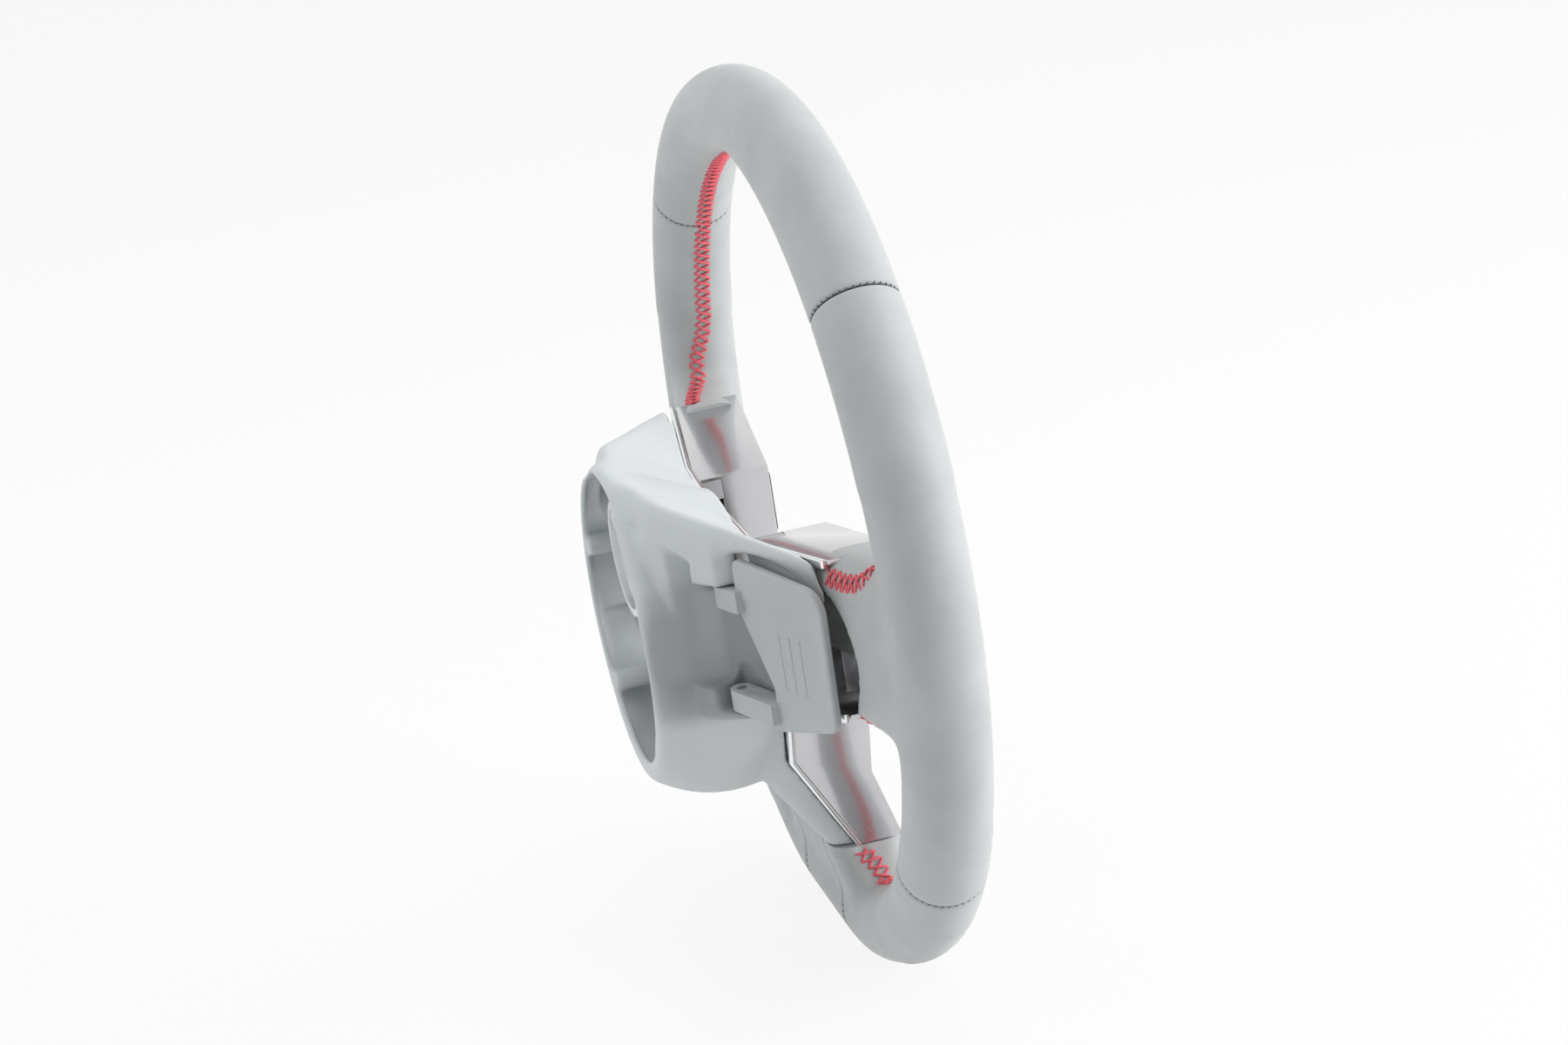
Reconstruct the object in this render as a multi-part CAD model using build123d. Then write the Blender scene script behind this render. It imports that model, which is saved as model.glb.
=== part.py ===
from build123d import *
from math import atan2, cos, degrees, radians, sin, sqrt
import os

# Car steering wheel, millimetres. Levels along Y are measured back from the rim's centre plane while the
# pieces are made. At export everything moves forward by HUB_SETBACK, so that the origin lies on the column
# axis at the rear mouth of the column bore. +X is the driver's right and +Z the top of the wheel.

# Rim
RIM_RADIUS = 169.0
FLAT_DEPTH = 5.0
RIM_CORNER = 88.0
GRIP_RADIUS = 17.0
LEATHER = 1.4
SEAM_GAP = 0.6
UPPER_SEAM_ANGLE = 42.6
LOWER_SEAM_ANGLE = 37.5
CORE_WIDTH = 14.0
CORE_DEPTH = 12.0
CORE_WALL = 3.0

# Leather-covered stubs that run from the rim into the spokes
STUB_REACH = 47.0
STUB_TOP = 23.0
STUB_BOTTOM = -41.0
STUB_FRONT = -5.0
STUB_REAR = 26.0
STUB_CORNER = 11.0
FLARE = 15.0
LOWER_STUB_REACH = 37.0
LOWER_STUB_HALF = 47.0
LOWER_STUB_FRONT = -9.0
LOWER_STUB_REAR = 20.5
LOWER_STUB_CORNER = 9.0
STUB_CLEARANCE = 0.3
STUB_RIM_MARGIN = 4.0
STUB_ROOT = 8.0
FLARE_START = 4.0
FLARE_LEVEL_SHARE = 0.33
LOWER_STUB_ROOT = 6.0
LOWER_FLARE_START = 2.0

# Round notch in each side stub, beside the paddle's outer edge
NOTCH_RADIUS = 26.0
NOTCH_X = 112.0
NOTCH_Z = -15.0
NOTCH_FLOOR = 15.0

# Outline of the three spokes and the hub, as seen by the driver
DIP_HALF = 40.0
DIP_TOP = 11.0
DIP_ROUND = 45.0
CROTCH_X = 64.0
CROTCH_Z = -54.0
CROTCH_ROUND = 15.0
END_ROUND = 0.5

# Parting between the rear cover and the front housings
PARTING_HUB = 34.5
PARTING_FLAT_HALF = 58.0
PARTING_ARM_FALL = 0.15
PARTING_LEG_START = -80.0
PARTING_LEG_FALL = 0.53
STRIP_WIDTH = 2.2
STRIP_DEPTH = 3.0
STRIP_PROUD = 0.4
STRIP_CLEARANCE = 0.1

# Rear cover
COVER_WALL = 2.5
COVER_REAR = 85.0
POT_FRONT_LEVEL = 27.0
POT_FRONT_HALF = 62.0
POT_FRONT_HEIGHT = 56.0
POT_FRONT_CENTRE = -42.0
POT_REAR_HALF = 61.0
POT_REAR_HEIGHT = 66.5
POT_REAR_CENTRE = -25.5
POT_MIDDLE_LEVEL = 62.0
POT_MIDDLE_HALF = 62.0
POT_MIDDLE_HEIGHT = 67.0
POT_MIDDLE_CENTRE = -36.7
POT_LEAN = 1.5
POT_EDGE = 5.0
LIP_WIDTH = 7.0
ARM_END_REAR = 27.0
ARM_STEP_OUTER = 79.8
ARM_STEP_LOW = 44.0
ARM_STEP_INNER = 78.0
ARM_STEP_HIGH = 57.5
ARM_ROOT = 48.0
ARM_ROOT_REAR = 78.0
ARM_DRAFT = 4.0
ARM_EDGE = 4.0

# Brow of each arm: its top climbs from the parting to a ridge above the paddle
BROW_BOTTOM = 19.8
BROW_LEDGE = 0.3
RIDGE_END_LEVEL = 30.0
RIDGE_END_HEIGHT = 23.4
RIDGE_STEP_LEVEL = 54.0
RIDGE_STEP_HEIGHT = 32.5
RIDGE_ROOT_LEVEL = 72.0
RIDGE_ROOT_HEIGHT = 37.0
RIDGE_MIDDLE_LEVEL = 81.0
RIDGE_MIDDLE_HEIGHT = 39.0
RIDGE_EDGE = 2.5
LEG_KNEE = -95.0
LEG_KNEE_REAR = 42.0
LEG_ROOT = -48.0
LEG_ROOT_REAR = 58.0
LEG_EDGE = 5.0
LEG_ROOT_EDGE = 18.0

# Finger pockets
POCKET_TOP = 6.4
POCKET_BOTTOM = -36.6
POCKET_MOUTH = 60.0
POCKET_BACK = 57.0
POCKET_BACK_LEVEL = 58.0
POCKET_FLOOR = 84.0
POCKET_FLOOR_LEVEL = 36.0
POCKET_END_LEVEL = 21.0
POCKET_ROUND = 14.0
POCKET_EDGE = 6.0
POCKET_OVERRUN = 30.0
SCOOP_START = 52.0
SCOOP_SLOPE = 0.75

# Paddles
PADDLE_SLOPE = 21.2
PADDLE_X = 85.0
PADDLE_LEVEL = 48.3
PADDLE_PLATE = 3.6
PADDLE_INNER = -4.0
PADDLE_OUTER = 50.5
PADDLE_TOP = 18.5
PADDLE_TOP_OUTER = 14.5
PADDLE_BOTTOM_OUTER = -41.0
PADDLE_FOOT_INNER = 9.0
PADDLE_BOTTOM = -50.0
PADDLE_WAIST = 12.5
PADDLE_WAIST_Z = -32.0
PADDLE_HEEL_Z = -2.4
PADDLE_OUTER_LEAN = 1.0
PADDLE_TOP_ROUND = 4.0
PADDLE_SHOULDER_ROUND = 10.0
PADDLE_FOOT_ROUND = 6.0
PADDLE_TOE_ROUND = 3.0
PADDLE_WAIST_ROUND = 8.0
PADDLE_HEEL_ROUND = 3.0
PADDLE_EDGE = 1.2
BORDER_SIDE = 6.0
BORDER_TOP = 12.0
BORDER_ROUND = 12.0
BORDER_DEPTH = 0.6
GRIP_GROOVES = 3
GROOVE_FIRST = 21.0
GROOVE_PITCH = 6.5
GROOVE_WIDTH = 1.6
GROOVE_DEPTH = 0.8
GROOVE_TOP = -7.0
GROOVE_BOTTOM = -30.0
PIVOT_U = -12.5
EAR_HALF = 4.5
EAR_GAP = 0.4
EAR_HEIGHT = 8.6
EAR_PLAY = 2.2
EAR_ROOT = 4.0
PIN_RADIUS = 2.0
PIN_RUNNING = 0.05
PIN_SEAT = 3.4
PIN_LUG = 6.0

# Paddle switch and return spring, standing on the pocket floor
SWITCH_X = 96.0
SWITCH_Z = -22.0
SWITCH_LENGTH = 12.8
SWITCH_BREADTH = 6.0
SWITCH_HEIGHT = 6.0
PLUNGER_RADIUS = 1.2
PLUNGER_HEIGHT = 2.0
LEAF_Z = -6.0
LEAF_WIDTH = 5.0
LEAF_THICKNESS = 0.5
LEAF_FOOT_START = 6.0
LEAF_FOOT_END = 13.0
LEAF_TIP_START = 27.0
LEAF_TIP_END = 32.0
LEAF_CLEARANCE = 0.1

# Front bezel with its recess for the airbag
BEZEL_WALL = 2.2
BEZEL_INNER = 45.0
BEZEL_INNER_FRONT = 3.0
RECESS_BOTTOM = -80.0
RECESS_ROUND = 26.0
RECESS_END_ROUND = 1.0
RECESS_BOTTOM_FRONT = 6.0
RECESS_WALL_REAR = 24.0

# Switch clusters
CLUSTER_WIDTH = 50.0
CLUSTER_HEIGHT = 37.0
CLUSTER_CORNER = 9.0
CLUSTER_X = 84.0
CLUSTER_Z = -12.0
CLUSTER_PROUD = 1.2
CLUSTER_DEPTH = 9.0
CLUSTER_FIT = 0.2
FLANGE_WIDTH = 2.5
FLANGE_THICKNESS = 1.4
BOARD_THICKNESS = 1.6
KEY_GAP = 0.4
KEY_PROUD = 1.6
KEY_DEPTH = 4.0
KEY_ROUND = 2.0
ROCKER_WIDTH = 13.0
ROCKER_HEIGHT = 26.0
ROCKER_MARGIN = 6.5
ROCKER_AXLE = 1.4
ROCKER_AXLE_REACH = 1.6
KEY_WIDTH = 18.0
KEY_HEIGHT = 11.5
KEY_MARGIN = 6.0
KEY_PITCH = 14.5

# Armature
HUB_SETBACK = 76.0
BORE_RADIUS = 9.0
INSERT_RADIUS = 15.0
INSERT_LENGTH = 32.0
BOSS_WALL = 4.0
HUB_RING = 24.0
HUB_RING_WALL = 3.0
HUB_RING_REAR = 78.0
WEB_FRONT = 56.0
WEB_THICKNESS = 6.0
ARM_BAR = 7.0
ARM_BAR_TOP = 1.0
ARM_BAR_BOTTOM = -21.0
ARM_KNEE_X = 62.0
ARM_KNEE_LEVEL = 37.0
ARM_ELBOW_X = 92.0
ARM_ELBOW_LEVEL = 18.0
BAR_ROOT_REACH = 10.0
BAR_ROOT_LEVEL = 3.0
LEG_BAR = 7.0
LEG_BAR_WIDTH = 14.0
LEG_BAR_X = 27.0
LEG_BAR_KNEE = -78.0
LEG_BAR_KNEE_LEVEL = 44.0
LEG_BAR_ELBOW = -112.0
LEG_BAR_ELBOW_LEVEL = 13.0
LEG_BAR_ROOT_REACH = 8.0
BRIDGE_HEIGHT = 12.0
BRIDGE_Z = -70.0

# Cover screws
SCREW_RADIUS = 1.9
SCREW_CLEARANCE = 0.4
SCREW_HEAD_RADIUS = 3.8
SCREW_HEAD = 2.6
SCREW_BITE = 9.0
LUG_RADIUS = 6.0
POST_RADIUS = 4.6
TIE_HALF = 4.0
SPOT_FACE_CLEARANCE = 0.4
SPOT_FACE_REACH = 12.0
LUG_THICKNESS = 5.0
UPPER_SCREW_X = 51.0
UPPER_SCREW_Z = -8.0
UPPER_LUG_LEVEL = 43.0
LOWER_SCREW_X = 40.0
LOWER_SCREW_Z = -66.0
LOWER_LUG_LEVEL = 44.0

# Harness
CABLE_RADIUS = 2.4
CABLE_LEVEL = 28.0
CABLE_Z = -31.0
CABLE_BEND = 9.0
CABLE_MARGIN = 4.0
PLUG_WIDTH = 22.0
PLUG_HEIGHT = 11.0
PLUG_MARGIN = 5.0

STUB_END = RIM_RADIUS - STUB_REACH
LEG_END = LOWER_STUB_REACH + FLAT_DEPTH - RIM_RADIUS
CORNER_Z = RIM_CORNER + FLAT_DEPTH - RIM_RADIUS
CORNER_X = sqrt((RIM_RADIUS - RIM_CORNER) ** 2 - CORNER_Z ** 2)
JOIN_ANGLE = degrees(atan2(-CORNER_Z, CORNER_X))
FOAM_RADIUS = GRIP_RADIUS - LEATHER
WIDE = 2 * (RIM_RADIUS + GRIP_RADIUS)
ROCKER_OFFSET = ROCKER_MARGIN + ROCKER_WIDTH / 2 - CLUSTER_WIDTH / 2
KEY_OFFSET = CLUSTER_WIDTH / 2 - KEY_MARGIN - KEY_WIDTH / 2


def facing_driver(level):
    """Plane across the wheel at a level, x to the right, y up, normal to the driver."""
    return Plane(origin=(0, level, 0), x_dir=(1, 0, 0), z_dir=(0, -1, 0))


def across(x):
    """Plane across a spoke at a place along X, with x rearwards and y up."""
    return Plane(origin=(x, 0, 0), x_dir=(0, 1, 0), z_dir=(1, 0, 0))


def level_plane(z):
    """Plane seen from above, with x to the right and y rearwards."""
    return Plane(origin=(0, 0, z), x_dir=(1, 0, 0), z_dir=(0, 0, 1))


def both_sides(solid):
    """A right-hand solid together with its mirror image."""
    return solid + mirror(solid, about=Plane.YZ)


def polygon(*corners):
    """Face with straight edges through the corners."""
    return make_face(Polyline(*corners, close=True))


def rounded(corners, radii):
    """Face through the corners, each rounded by its own radius."""
    return make_face(FilletPolyline(*corners, radius=radii, close=True))


def between(x, x_a, y_a, x_b, y_b):
    """Height at x of the straight line through two points."""
    return y_a + (x - x_a) * (y_b - y_a) / (x_b - x_a)


def block(x_range, y_range, z_range):
    """Box between three pairs of limits."""
    centre = [(a + b) / 2 for a, b in (x_range, y_range, z_range)]
    return Pos(*centre) * Box(*[b - a for a, b in (x_range, y_range, z_range)])


def rod(start, end, radius):
    """Round bar between two points."""
    line = Line(start, end)
    return sweep(Plane(origin=line @ 0, z_dir=line % 0) * Circle(radius), path=line)


def station(centre, radius, angle):
    """Plane across the rim at an angle, with x outwards and y rearwards."""
    outward = Vector(cos(radians(angle)), 0, sin(radians(angle)))
    return Plane(
        origin=Vector(centre[0], 0, centre[1]) + outward * radius,
        x_dir=outward,
        z_dir=(-outward.Z, 0, outward.X),
    )


def along_arc(profile, centre, radius, start, sweep_angle):
    """Carries a profile round one arc of the rim."""
    axis = Axis((centre[0], 0, centre[1]), (0, -1, 0))
    return revolve(station(centre, radius, start) * profile, axis, sweep_angle)


def round_rim(profile):
    """Carries a profile once round the rim: round part, two corners and the flat."""
    turn = 90 - JOIN_ANGLE
    run = along_arc(profile, (0, 0), RIM_RADIUS, -JOIN_ANGLE, 180 + 2 * JOIN_ANGLE)
    run += along_arc(profile, (-CORNER_X, CORNER_Z), RIM_CORNER, 270 - turn, turn)
    run += along_arc(profile, (CORNER_X, CORNER_Z), RIM_CORNER, 270, turn)
    run += extrude(station((-CORNER_X, CORNER_Z), RIM_CORNER, 270) * profile, 2 * CORNER_X)
    return run


def side_stub(inset):
    """Flared end of the right spoke, from its outer end into the rim."""
    centre_z = (STUB_TOP + STUB_BOTTOM) / 2
    height = STUB_TOP - STUB_BOTTOM - 2 * inset
    near = (STUB_FRONT + STUB_REAR) / 2
    depth = STUB_REAR - STUB_FRONT - 2 * inset
    rim_depth = 2 * (GRIP_RADIUS - inset) - STUB_RIM_MARGIN
    corner = STUB_CORNER - inset
    flare_x = RIM_RADIUS - GRIP_RADIUS - FLARE_START
    end = RectangleRounded(depth, height, corner)
    flare = RectangleRounded(depth, height + FLARE / 3, corner)
    root = RectangleRounded(rim_depth, height + 2 * FLARE, corner)
    sections = [
        Pos(STUB_END, near, centre_z) * (across(0) * end),
        Pos(flare_x, near * FLARE_LEVEL_SHARE, centre_z) * (across(0) * flare),
        Pos(RIM_RADIUS - STUB_ROOT, 0, centre_z) * (across(0) * root),
    ]
    notch = rod((NOTCH_X, NOTCH_FLOOR - inset, NOTCH_Z), (NOTCH_X, WIDE, NOTCH_Z), NOTCH_RADIUS + inset)
    return loft(sections) - notch


def lower_stub(inset):
    """Flared end of the lower spoke, from its lower end into the rim."""
    flat = RIM_RADIUS - FLAT_DEPTH
    near = (LOWER_STUB_FRONT + LOWER_STUB_REAR) / 2
    depth = LOWER_STUB_REAR - LOWER_STUB_FRONT - 2 * inset
    width = 2 * (LOWER_STUB_HALF - inset)
    rim_depth = 2 * (GRIP_RADIUS - inset) - STUB_RIM_MARGIN
    corner = LOWER_STUB_CORNER - inset
    flare_z = GRIP_RADIUS + LOWER_FLARE_START - flat
    end = RectangleRounded(width, depth, corner)
    flare = RectangleRounded(width + FLARE / 2, depth, corner)
    root = RectangleRounded(width + 2 * FLARE, rim_depth, corner)
    sections = [
        Pos(0, near, 0) * (level_plane(LEG_END) * end),
        Pos(0, near * FLARE_LEVEL_SHARE, 0) * (level_plane(flare_z) * flare),
        level_plane(LOWER_STUB_ROOT - flat) * root,
    ]
    return loft(sections)


def grip_body(inset):
    """Rim and spoke stubs as one body, drawn in from the leather's outside."""
    return round_rim(Circle(GRIP_RADIUS - inset)) + both_sides(side_stub(inset)) + lower_stub(inset)


def spoke_outline(inset):
    """Outline of the hub and spokes; the spokes run on past the stubs' ends."""
    reach = STUB_END + POCKET_OVERRUN
    top = between(reach, DIP_HALF, DIP_TOP, STUB_END, STUB_TOP)
    bottom = between(reach, CROTCH_X, CROTCH_Z, STUB_END, STUB_BOTTOM)
    foot = LEG_END - POCKET_OVERRUN
    foot_half = between(foot, CROTCH_Z, CROTCH_X, LEG_END, LOWER_STUB_HALF)
    half = [(DIP_HALF, DIP_TOP), (reach, top), (reach, bottom), (CROTCH_X, CROTCH_Z), (foot_half, foot)]
    radii = [DIP_ROUND, END_ROUND, END_ROUND, CROTCH_ROUND, END_ROUND]
    corners = half + [(-x, z) for x, z in reversed(half)]
    outline = rounded(corners, radii + radii[::-1])
    return offset(outline, -inset) if inset else outline


def spoke_prism(inset):
    """The outline as a prism through the whole depth of the wheel."""
    return extrude(facing_driver(COVER_REAR) * spoke_outline(inset), COVER_REAR + 2 * GRIP_RADIUS)


def parting_level(x):
    """Level of the parting along the spokes."""
    return PARTING_HUB - PARTING_ARM_FALL * max(abs(x) - PARTING_FLAT_HALF, 0)


def ahead_of_parting(shift):
    """Everything on the driver's side of the dished parting, moved rearwards by a shift."""
    level = PARTING_HUB + shift
    edge = parting_level(WIDE) + shift
    front = -WIDE
    right = [(PARTING_FLAT_HALF, level), (WIDE, edge), (WIDE, front)]
    arms = polygon(*right, *[(-x, y) for x, y in reversed(right)])
    fall_end = PARTING_LEG_START - WIDE
    fall_level = level - PARTING_LEG_FALL * WIDE
    rise_level = level + PARTING_LEG_FALL * WIDE
    rise_end = PARTING_LEG_START + WIDE
    fall = [(fall_level - WIDE, fall_end), (fall_level, fall_end)]
    leg = polygon(*fall, (rise_level, rise_end), (front, WIDE))
    arm_side = extrude(level_plane(-WIDE) * arms, 2 * WIDE)
    leg_side = extrude(across(-WIDE) * leg, 2 * WIDE)
    return arm_side & leg_side


def spoke_space():
    """Room for plastic between the ends of the leather stubs."""
    reach = STUB_END - STUB_CLEARANCE
    return block((-reach, reach), (-WIDE, WIDE), (LEG_END + STUB_CLEARANCE, WIDE))


def arm_section(x, rear, ridge_level, ridge_height, inset):
    """Section of a cover arm, with the solid brow that stands over the paddle."""
    top = max(between(abs(x), DIP_HALF, DIP_TOP, STUB_END, STUB_TOP), DIP_TOP) - inset
    bottom = between(abs(x), CROTCH_X, CROTCH_Z, STUB_END, STUB_BOTTOM) + inset
    ridge_top = ridge_height - inset
    if inset:
        ridge_top -= RIDGE_EDGE - 2 * BROW_LEDGE
    low = BROW_BOTTOM + inset
    if inset and ridge_level > rear:
        ridge_top = between(rear, parting_level(x), top, ridge_level, ridge_top)
        ridge_level = rear - BROW_LEDGE
        low = ridge_top - BROW_LEDGE
    brow_foot = max(rear + BROW_LEDGE, ridge_level)
    lip = min(parting_level(x), ridge_level - inset - BROW_LEDGE)
    lower = [(rear - inset, bottom + ARM_DRAFT / 2)]
    ridge = [(ridge_level - inset, ridge_top)]
    if not inset:
        edge = min(RIDGE_EDGE, (ridge_height - BROW_BOTTOM) / 2)
        drop = edge * (ridge_top - top) / (ridge_level - lip)
        lower = [(rear - ARM_EDGE, bottom + ARM_DRAFT / 2), (rear, bottom + ARM_DRAFT / 2 + ARM_EDGE)]
        ridge = [(ridge_level, ridge_top - edge), (ridge_level - edge, ridge_top - drop)]
    brow = [(rear - inset, low), (brow_foot - inset, low)]
    return across(x) * polygon((0, bottom), *lower, *brow, *ridge, (lip, top), (0, top))


def cover_arms(inset):
    """Both arms of the rear cover, stepped down below their brows where the paddles lie over them."""
    right = [
        (STUB_END + inset, ARM_END_REAR, RIDGE_END_LEVEL, RIDGE_END_HEIGHT),
        (ARM_STEP_OUTER, ARM_STEP_LOW, RIDGE_STEP_LEVEL, RIDGE_STEP_HEIGHT),
        (ARM_STEP_INNER, ARM_STEP_HIGH, RIDGE_STEP_LEVEL, RIDGE_STEP_HEIGHT),
        (ARM_ROOT, ARM_ROOT_REAR, RIDGE_ROOT_LEVEL, RIDGE_ROOT_HEIGHT),
    ]
    middle = (0, ARM_ROOT_REAR, RIDGE_MIDDLE_LEVEL, RIDGE_MIDDLE_HEIGHT)
    left = [(-x, *sizes) for x, *sizes in right]
    stations = [*left, middle, *reversed(right)]
    return loft([arm_section(*place, inset) for place in stations], ruled=True)


def leg_section(z, rear, edge, inset):
    """Section of the cover's lower leg, with draft on its sides and rounded rear edges."""
    half = between(z, CROTCH_Z, CROTCH_X, LEG_END, LOWER_STUB_HALF) - inset
    back = rear - inset
    taper = half - ARM_DRAFT
    front = -GRIP_RADIUS
    face = level_plane(z) * polygon((-half, front), (half, front), (taper, back), (-taper, back))
    return fillet(face.vertices().sort_by(Axis.Y)[-2:], edge - inset / 2)


def cover_leg(inset):
    """Lower leg of the rear cover, from the hub down to the rim."""
    stations = [
        (LEG_END - inset, LOWER_STUB_REAR, LEG_EDGE),
        (LEG_KNEE, LEG_KNEE_REAR, LEG_ROOT_EDGE),
        (LEG_ROOT, LEG_ROOT_REAR, LEG_ROOT_EDGE),
    ]
    return loft([leg_section(z, rear, edge, inset) for z, rear, edge in stations], ruled=True)


def cover_pot(inset):
    """Hub of the rear cover: an oval that bellies out below and grows upwards to the column opening."""
    ovals = [
        (POT_FRONT_LEVEL - inset, POT_FRONT_HALF, POT_FRONT_HEIGHT, POT_FRONT_CENTRE),
        (POT_MIDDLE_LEVEL - inset, POT_MIDDLE_HALF, POT_MIDDLE_HEIGHT, POT_MIDDLE_CENTRE),
        (COVER_REAR - inset, POT_REAR_HALF, POT_REAR_HEIGHT, POT_REAR_CENTRE),
    ]
    sections = [
        facing_driver(level) * (Pos(0, centre) * Ellipse(half - inset, height - POT_LEAN * inset))
        for level, half, height, centre in ovals
    ]
    pot = loft(sections)
    return fillet(pot.edges().sort_by(Axis.Y)[-1:], POT_EDGE - inset)


def cover_body(inset):
    """Outside of the rear cover before its pockets and parting are cut."""
    return cover_pot(inset) + cover_arms(inset) + cover_leg(inset)


def pocket(grow):
    """Finger pocket of the right arm with its scooped roof and the notch for the paddle's lower ear."""
    reach = STUB_END + POCKET_OVERRUN
    rear = COVER_REAR + POCKET_OVERRUN
    end_level = between(reach, POCKET_FLOOR, POCKET_FLOOR_LEVEL, STUB_END, POCKET_END_LEVEL)
    mouth = (POCKET_MOUTH, rear)
    end = (reach, end_level)
    turn = (POCKET_FLOOR, POCKET_FLOOR_LEVEL)
    wall = FilletPolyline(mouth, (POCKET_BACK, POCKET_BACK_LEVEL), turn, end, radius=POCKET_ROUND)
    face = make_face([*wall.edges(), *Polyline(end, (reach, rear), mouth).edges()])
    if grow:
        face = offset(face, grow)
    hollow = extrude(level_plane(POCKET_BOTTOM - grow) * face, POCKET_TOP - POCKET_BOTTOM + 2 * grow)
    if not grow:
        edges = hollow.faces().sort_by(Axis.Z)[0].edges()
        half = POCKET_OVERRUN / 2
        base = [edge for edge in edges if edge.center().X < reach - half and edge.center().Y < rear - half]
        hollow = fillet(base, POCKET_EDGE)
    x, level = pivot()
    room = EAR_HALF + EAR_PLAY + grow
    depth = EAR_HEIGHT + 2 * EAR_GAP
    seat = Plane(origin=(x, level, POCKET_BOTTOM), x_dir=paddle_direction(), z_dir=(0, 0, 1))
    notch = seat * block((-room, POCKET_OVERRUN), (-room, POCKET_OVERRUN), (-depth - grow, POCKET_EDGE))
    return hollow + notch + pocket_scoop(grow)


def pocket_scoop(grow):
    """Slope that opens the pocket's roof to the rear, between the hub and the upper pin's lug."""
    lift = grow * sqrt(1 + SCOOP_SLOPE ** 2)
    rear = COVER_REAR + POCKET_OVERRUN
    low = POCKET_TOP - POCKET_EDGE
    roof = POCKET_TOP + SCOOP_SLOPE * (rear - SCOOP_START) + lift
    side = across(POCKET_BACK - grow) * polygon(
        (SCOOP_START - grow, low), (rear, low), (rear, roof), (SCOOP_START - grow, POCKET_TOP + grow)
    )
    return extrude(side, pivot()[0] - PIN_LUG - POCKET_BACK + 2 * grow)


def paddle_direction():
    """Direction outwards along the right paddle's plate."""
    return Vector(cos(radians(PADDLE_SLOPE)), -sin(radians(PADDLE_SLOPE)), 0)


def pivot():
    """Place of the right paddle's pivot, seen from above."""
    point = Vector(PADDLE_X, PADDLE_LEVEL, 0) + paddle_direction() * PIVOT_U
    return point.X, point.Y


def paddle_plane():
    """Middle plane of the right paddle's plate, x outwards, y up, normal to the driver."""
    out = paddle_direction()
    return Plane(origin=(PADDLE_X, PADDLE_LEVEL, 0), x_dir=out, z_dir=(out.Y, -out.X, 0))


def ear_range(upper):
    """Lower and upper height of one ear."""
    if upper:
        return POCKET_TOP - EAR_GAP - EAR_HEIGHT, POCKET_TOP - EAR_GAP
    return POCKET_BOTTOM - EAR_GAP - EAR_HEIGHT, POCKET_BOTTOM - EAR_GAP


def paddle():
    """Right paddle: plate with a raised border, grip grooves, two ears and the bores for its pins."""
    corners = [
        (PADDLE_INNER, PADDLE_TOP),
        (PADDLE_OUTER, PADDLE_TOP_OUTER),
        (PADDLE_OUTER - PADDLE_OUTER_LEAN, PADDLE_BOTTOM_OUTER),
        (PADDLE_FOOT_INNER, PADDLE_BOTTOM),
        (PADDLE_WAIST, PADDLE_WAIST_Z),
        (PADDLE_INNER, PADDLE_HEEL_Z),
    ]
    radii = [
        PADDLE_TOP_ROUND,
        PADDLE_SHOULDER_ROUND,
        PADDLE_FOOT_ROUND,
        PADDLE_TOE_ROUND,
        PADDLE_WAIST_ROUND,
        PADDLE_HEEL_ROUND,
    ]
    outline = rounded(corners, radii)
    plate = extrude(paddle_plane() * outline, PADDLE_PLATE / 2, both=True)
    plate = fillet(plate.faces().sort_by(Axis.Y)[-1:].edges(), PADDLE_EDGE)
    inner_corner = (PADDLE_OUTER - BORDER_SIDE, PADDLE_TOP_OUTER - BORDER_TOP)
    sunk_side = [(inner_corner[0], -WIDE), inner_corner, (-WIDE, inner_corner[1])]
    border = FilletPolyline(*sunk_side, radius=BORDER_ROUND)
    sunk = make_face([*border.edges(), Line(sunk_side[-1], sunk_side[0])])
    plate -= paddle_plane() * extrude(Pos(0, 0, BORDER_DEPTH - PADDLE_PLATE / 2) * sunk, -PADDLE_PLATE)
    length = GROOVE_TOP - GROOVE_BOTTOM
    for number in range(GRIP_GROOVES):
        place = Pos(GROOVE_FIRST + number * GROOVE_PITCH, (GROOVE_TOP + GROOVE_BOTTOM) / 2, -PADDLE_PLATE / 2)
        groove = SlotOverall(length, GROOVE_WIDTH, rotation=90)
        plate -= paddle_plane() * (place * extrude(groove, GROOVE_DEPTH, both=True))
    x, level = pivot()
    for upper, reach in ((True, PADDLE_INNER + EAR_ROOT), (False, PADDLE_WAIST)):
        low, high = ear_range(upper)
        length = reach - PIVOT_U
        seat = Plane(origin=(x, level, low), x_dir=paddle_direction(), z_dir=(0, 0, 1))
        ear = Circle(EAR_HALF) + Pos(length / 2, 0) * Rectangle(length, 2 * EAR_HALF)
        plate += extrude(seat * ear, high - low)
    return plate - pivot_pins(PIN_RADIUS)


def pivot_pins(radius):
    """The right paddle's two stub pins; both reach into the cover beyond the ears."""
    x, level = pivot()
    upper_low, upper_high = ear_range(True)
    lower_low, lower_high = ear_range(False)
    upper = rod((x, level, upper_low), (x, level, upper_high + EAR_GAP + PIN_SEAT), radius)
    lower = rod((x, level, lower_low - EAR_GAP - PIN_SEAT), (x, level, lower_high), radius)
    return upper + lower


def pin_lugs():
    """Thickened cover round the ends of the right paddle's pins."""
    x, level = pivot()
    return rod((x, level, LOWER_SCREW_Z), (x, level, STUB_TOP), PIN_LUG)


def screw_places():
    """Cover screws on the right: place across the wheel and level of the lug's front face."""
    upper = (UPPER_SCREW_X, UPPER_SCREW_Z, UPPER_LUG_LEVEL)
    lower = (LOWER_SCREW_X, LOWER_SCREW_Z, LOWER_LUG_LEVEL)
    return [upper, lower]


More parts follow.
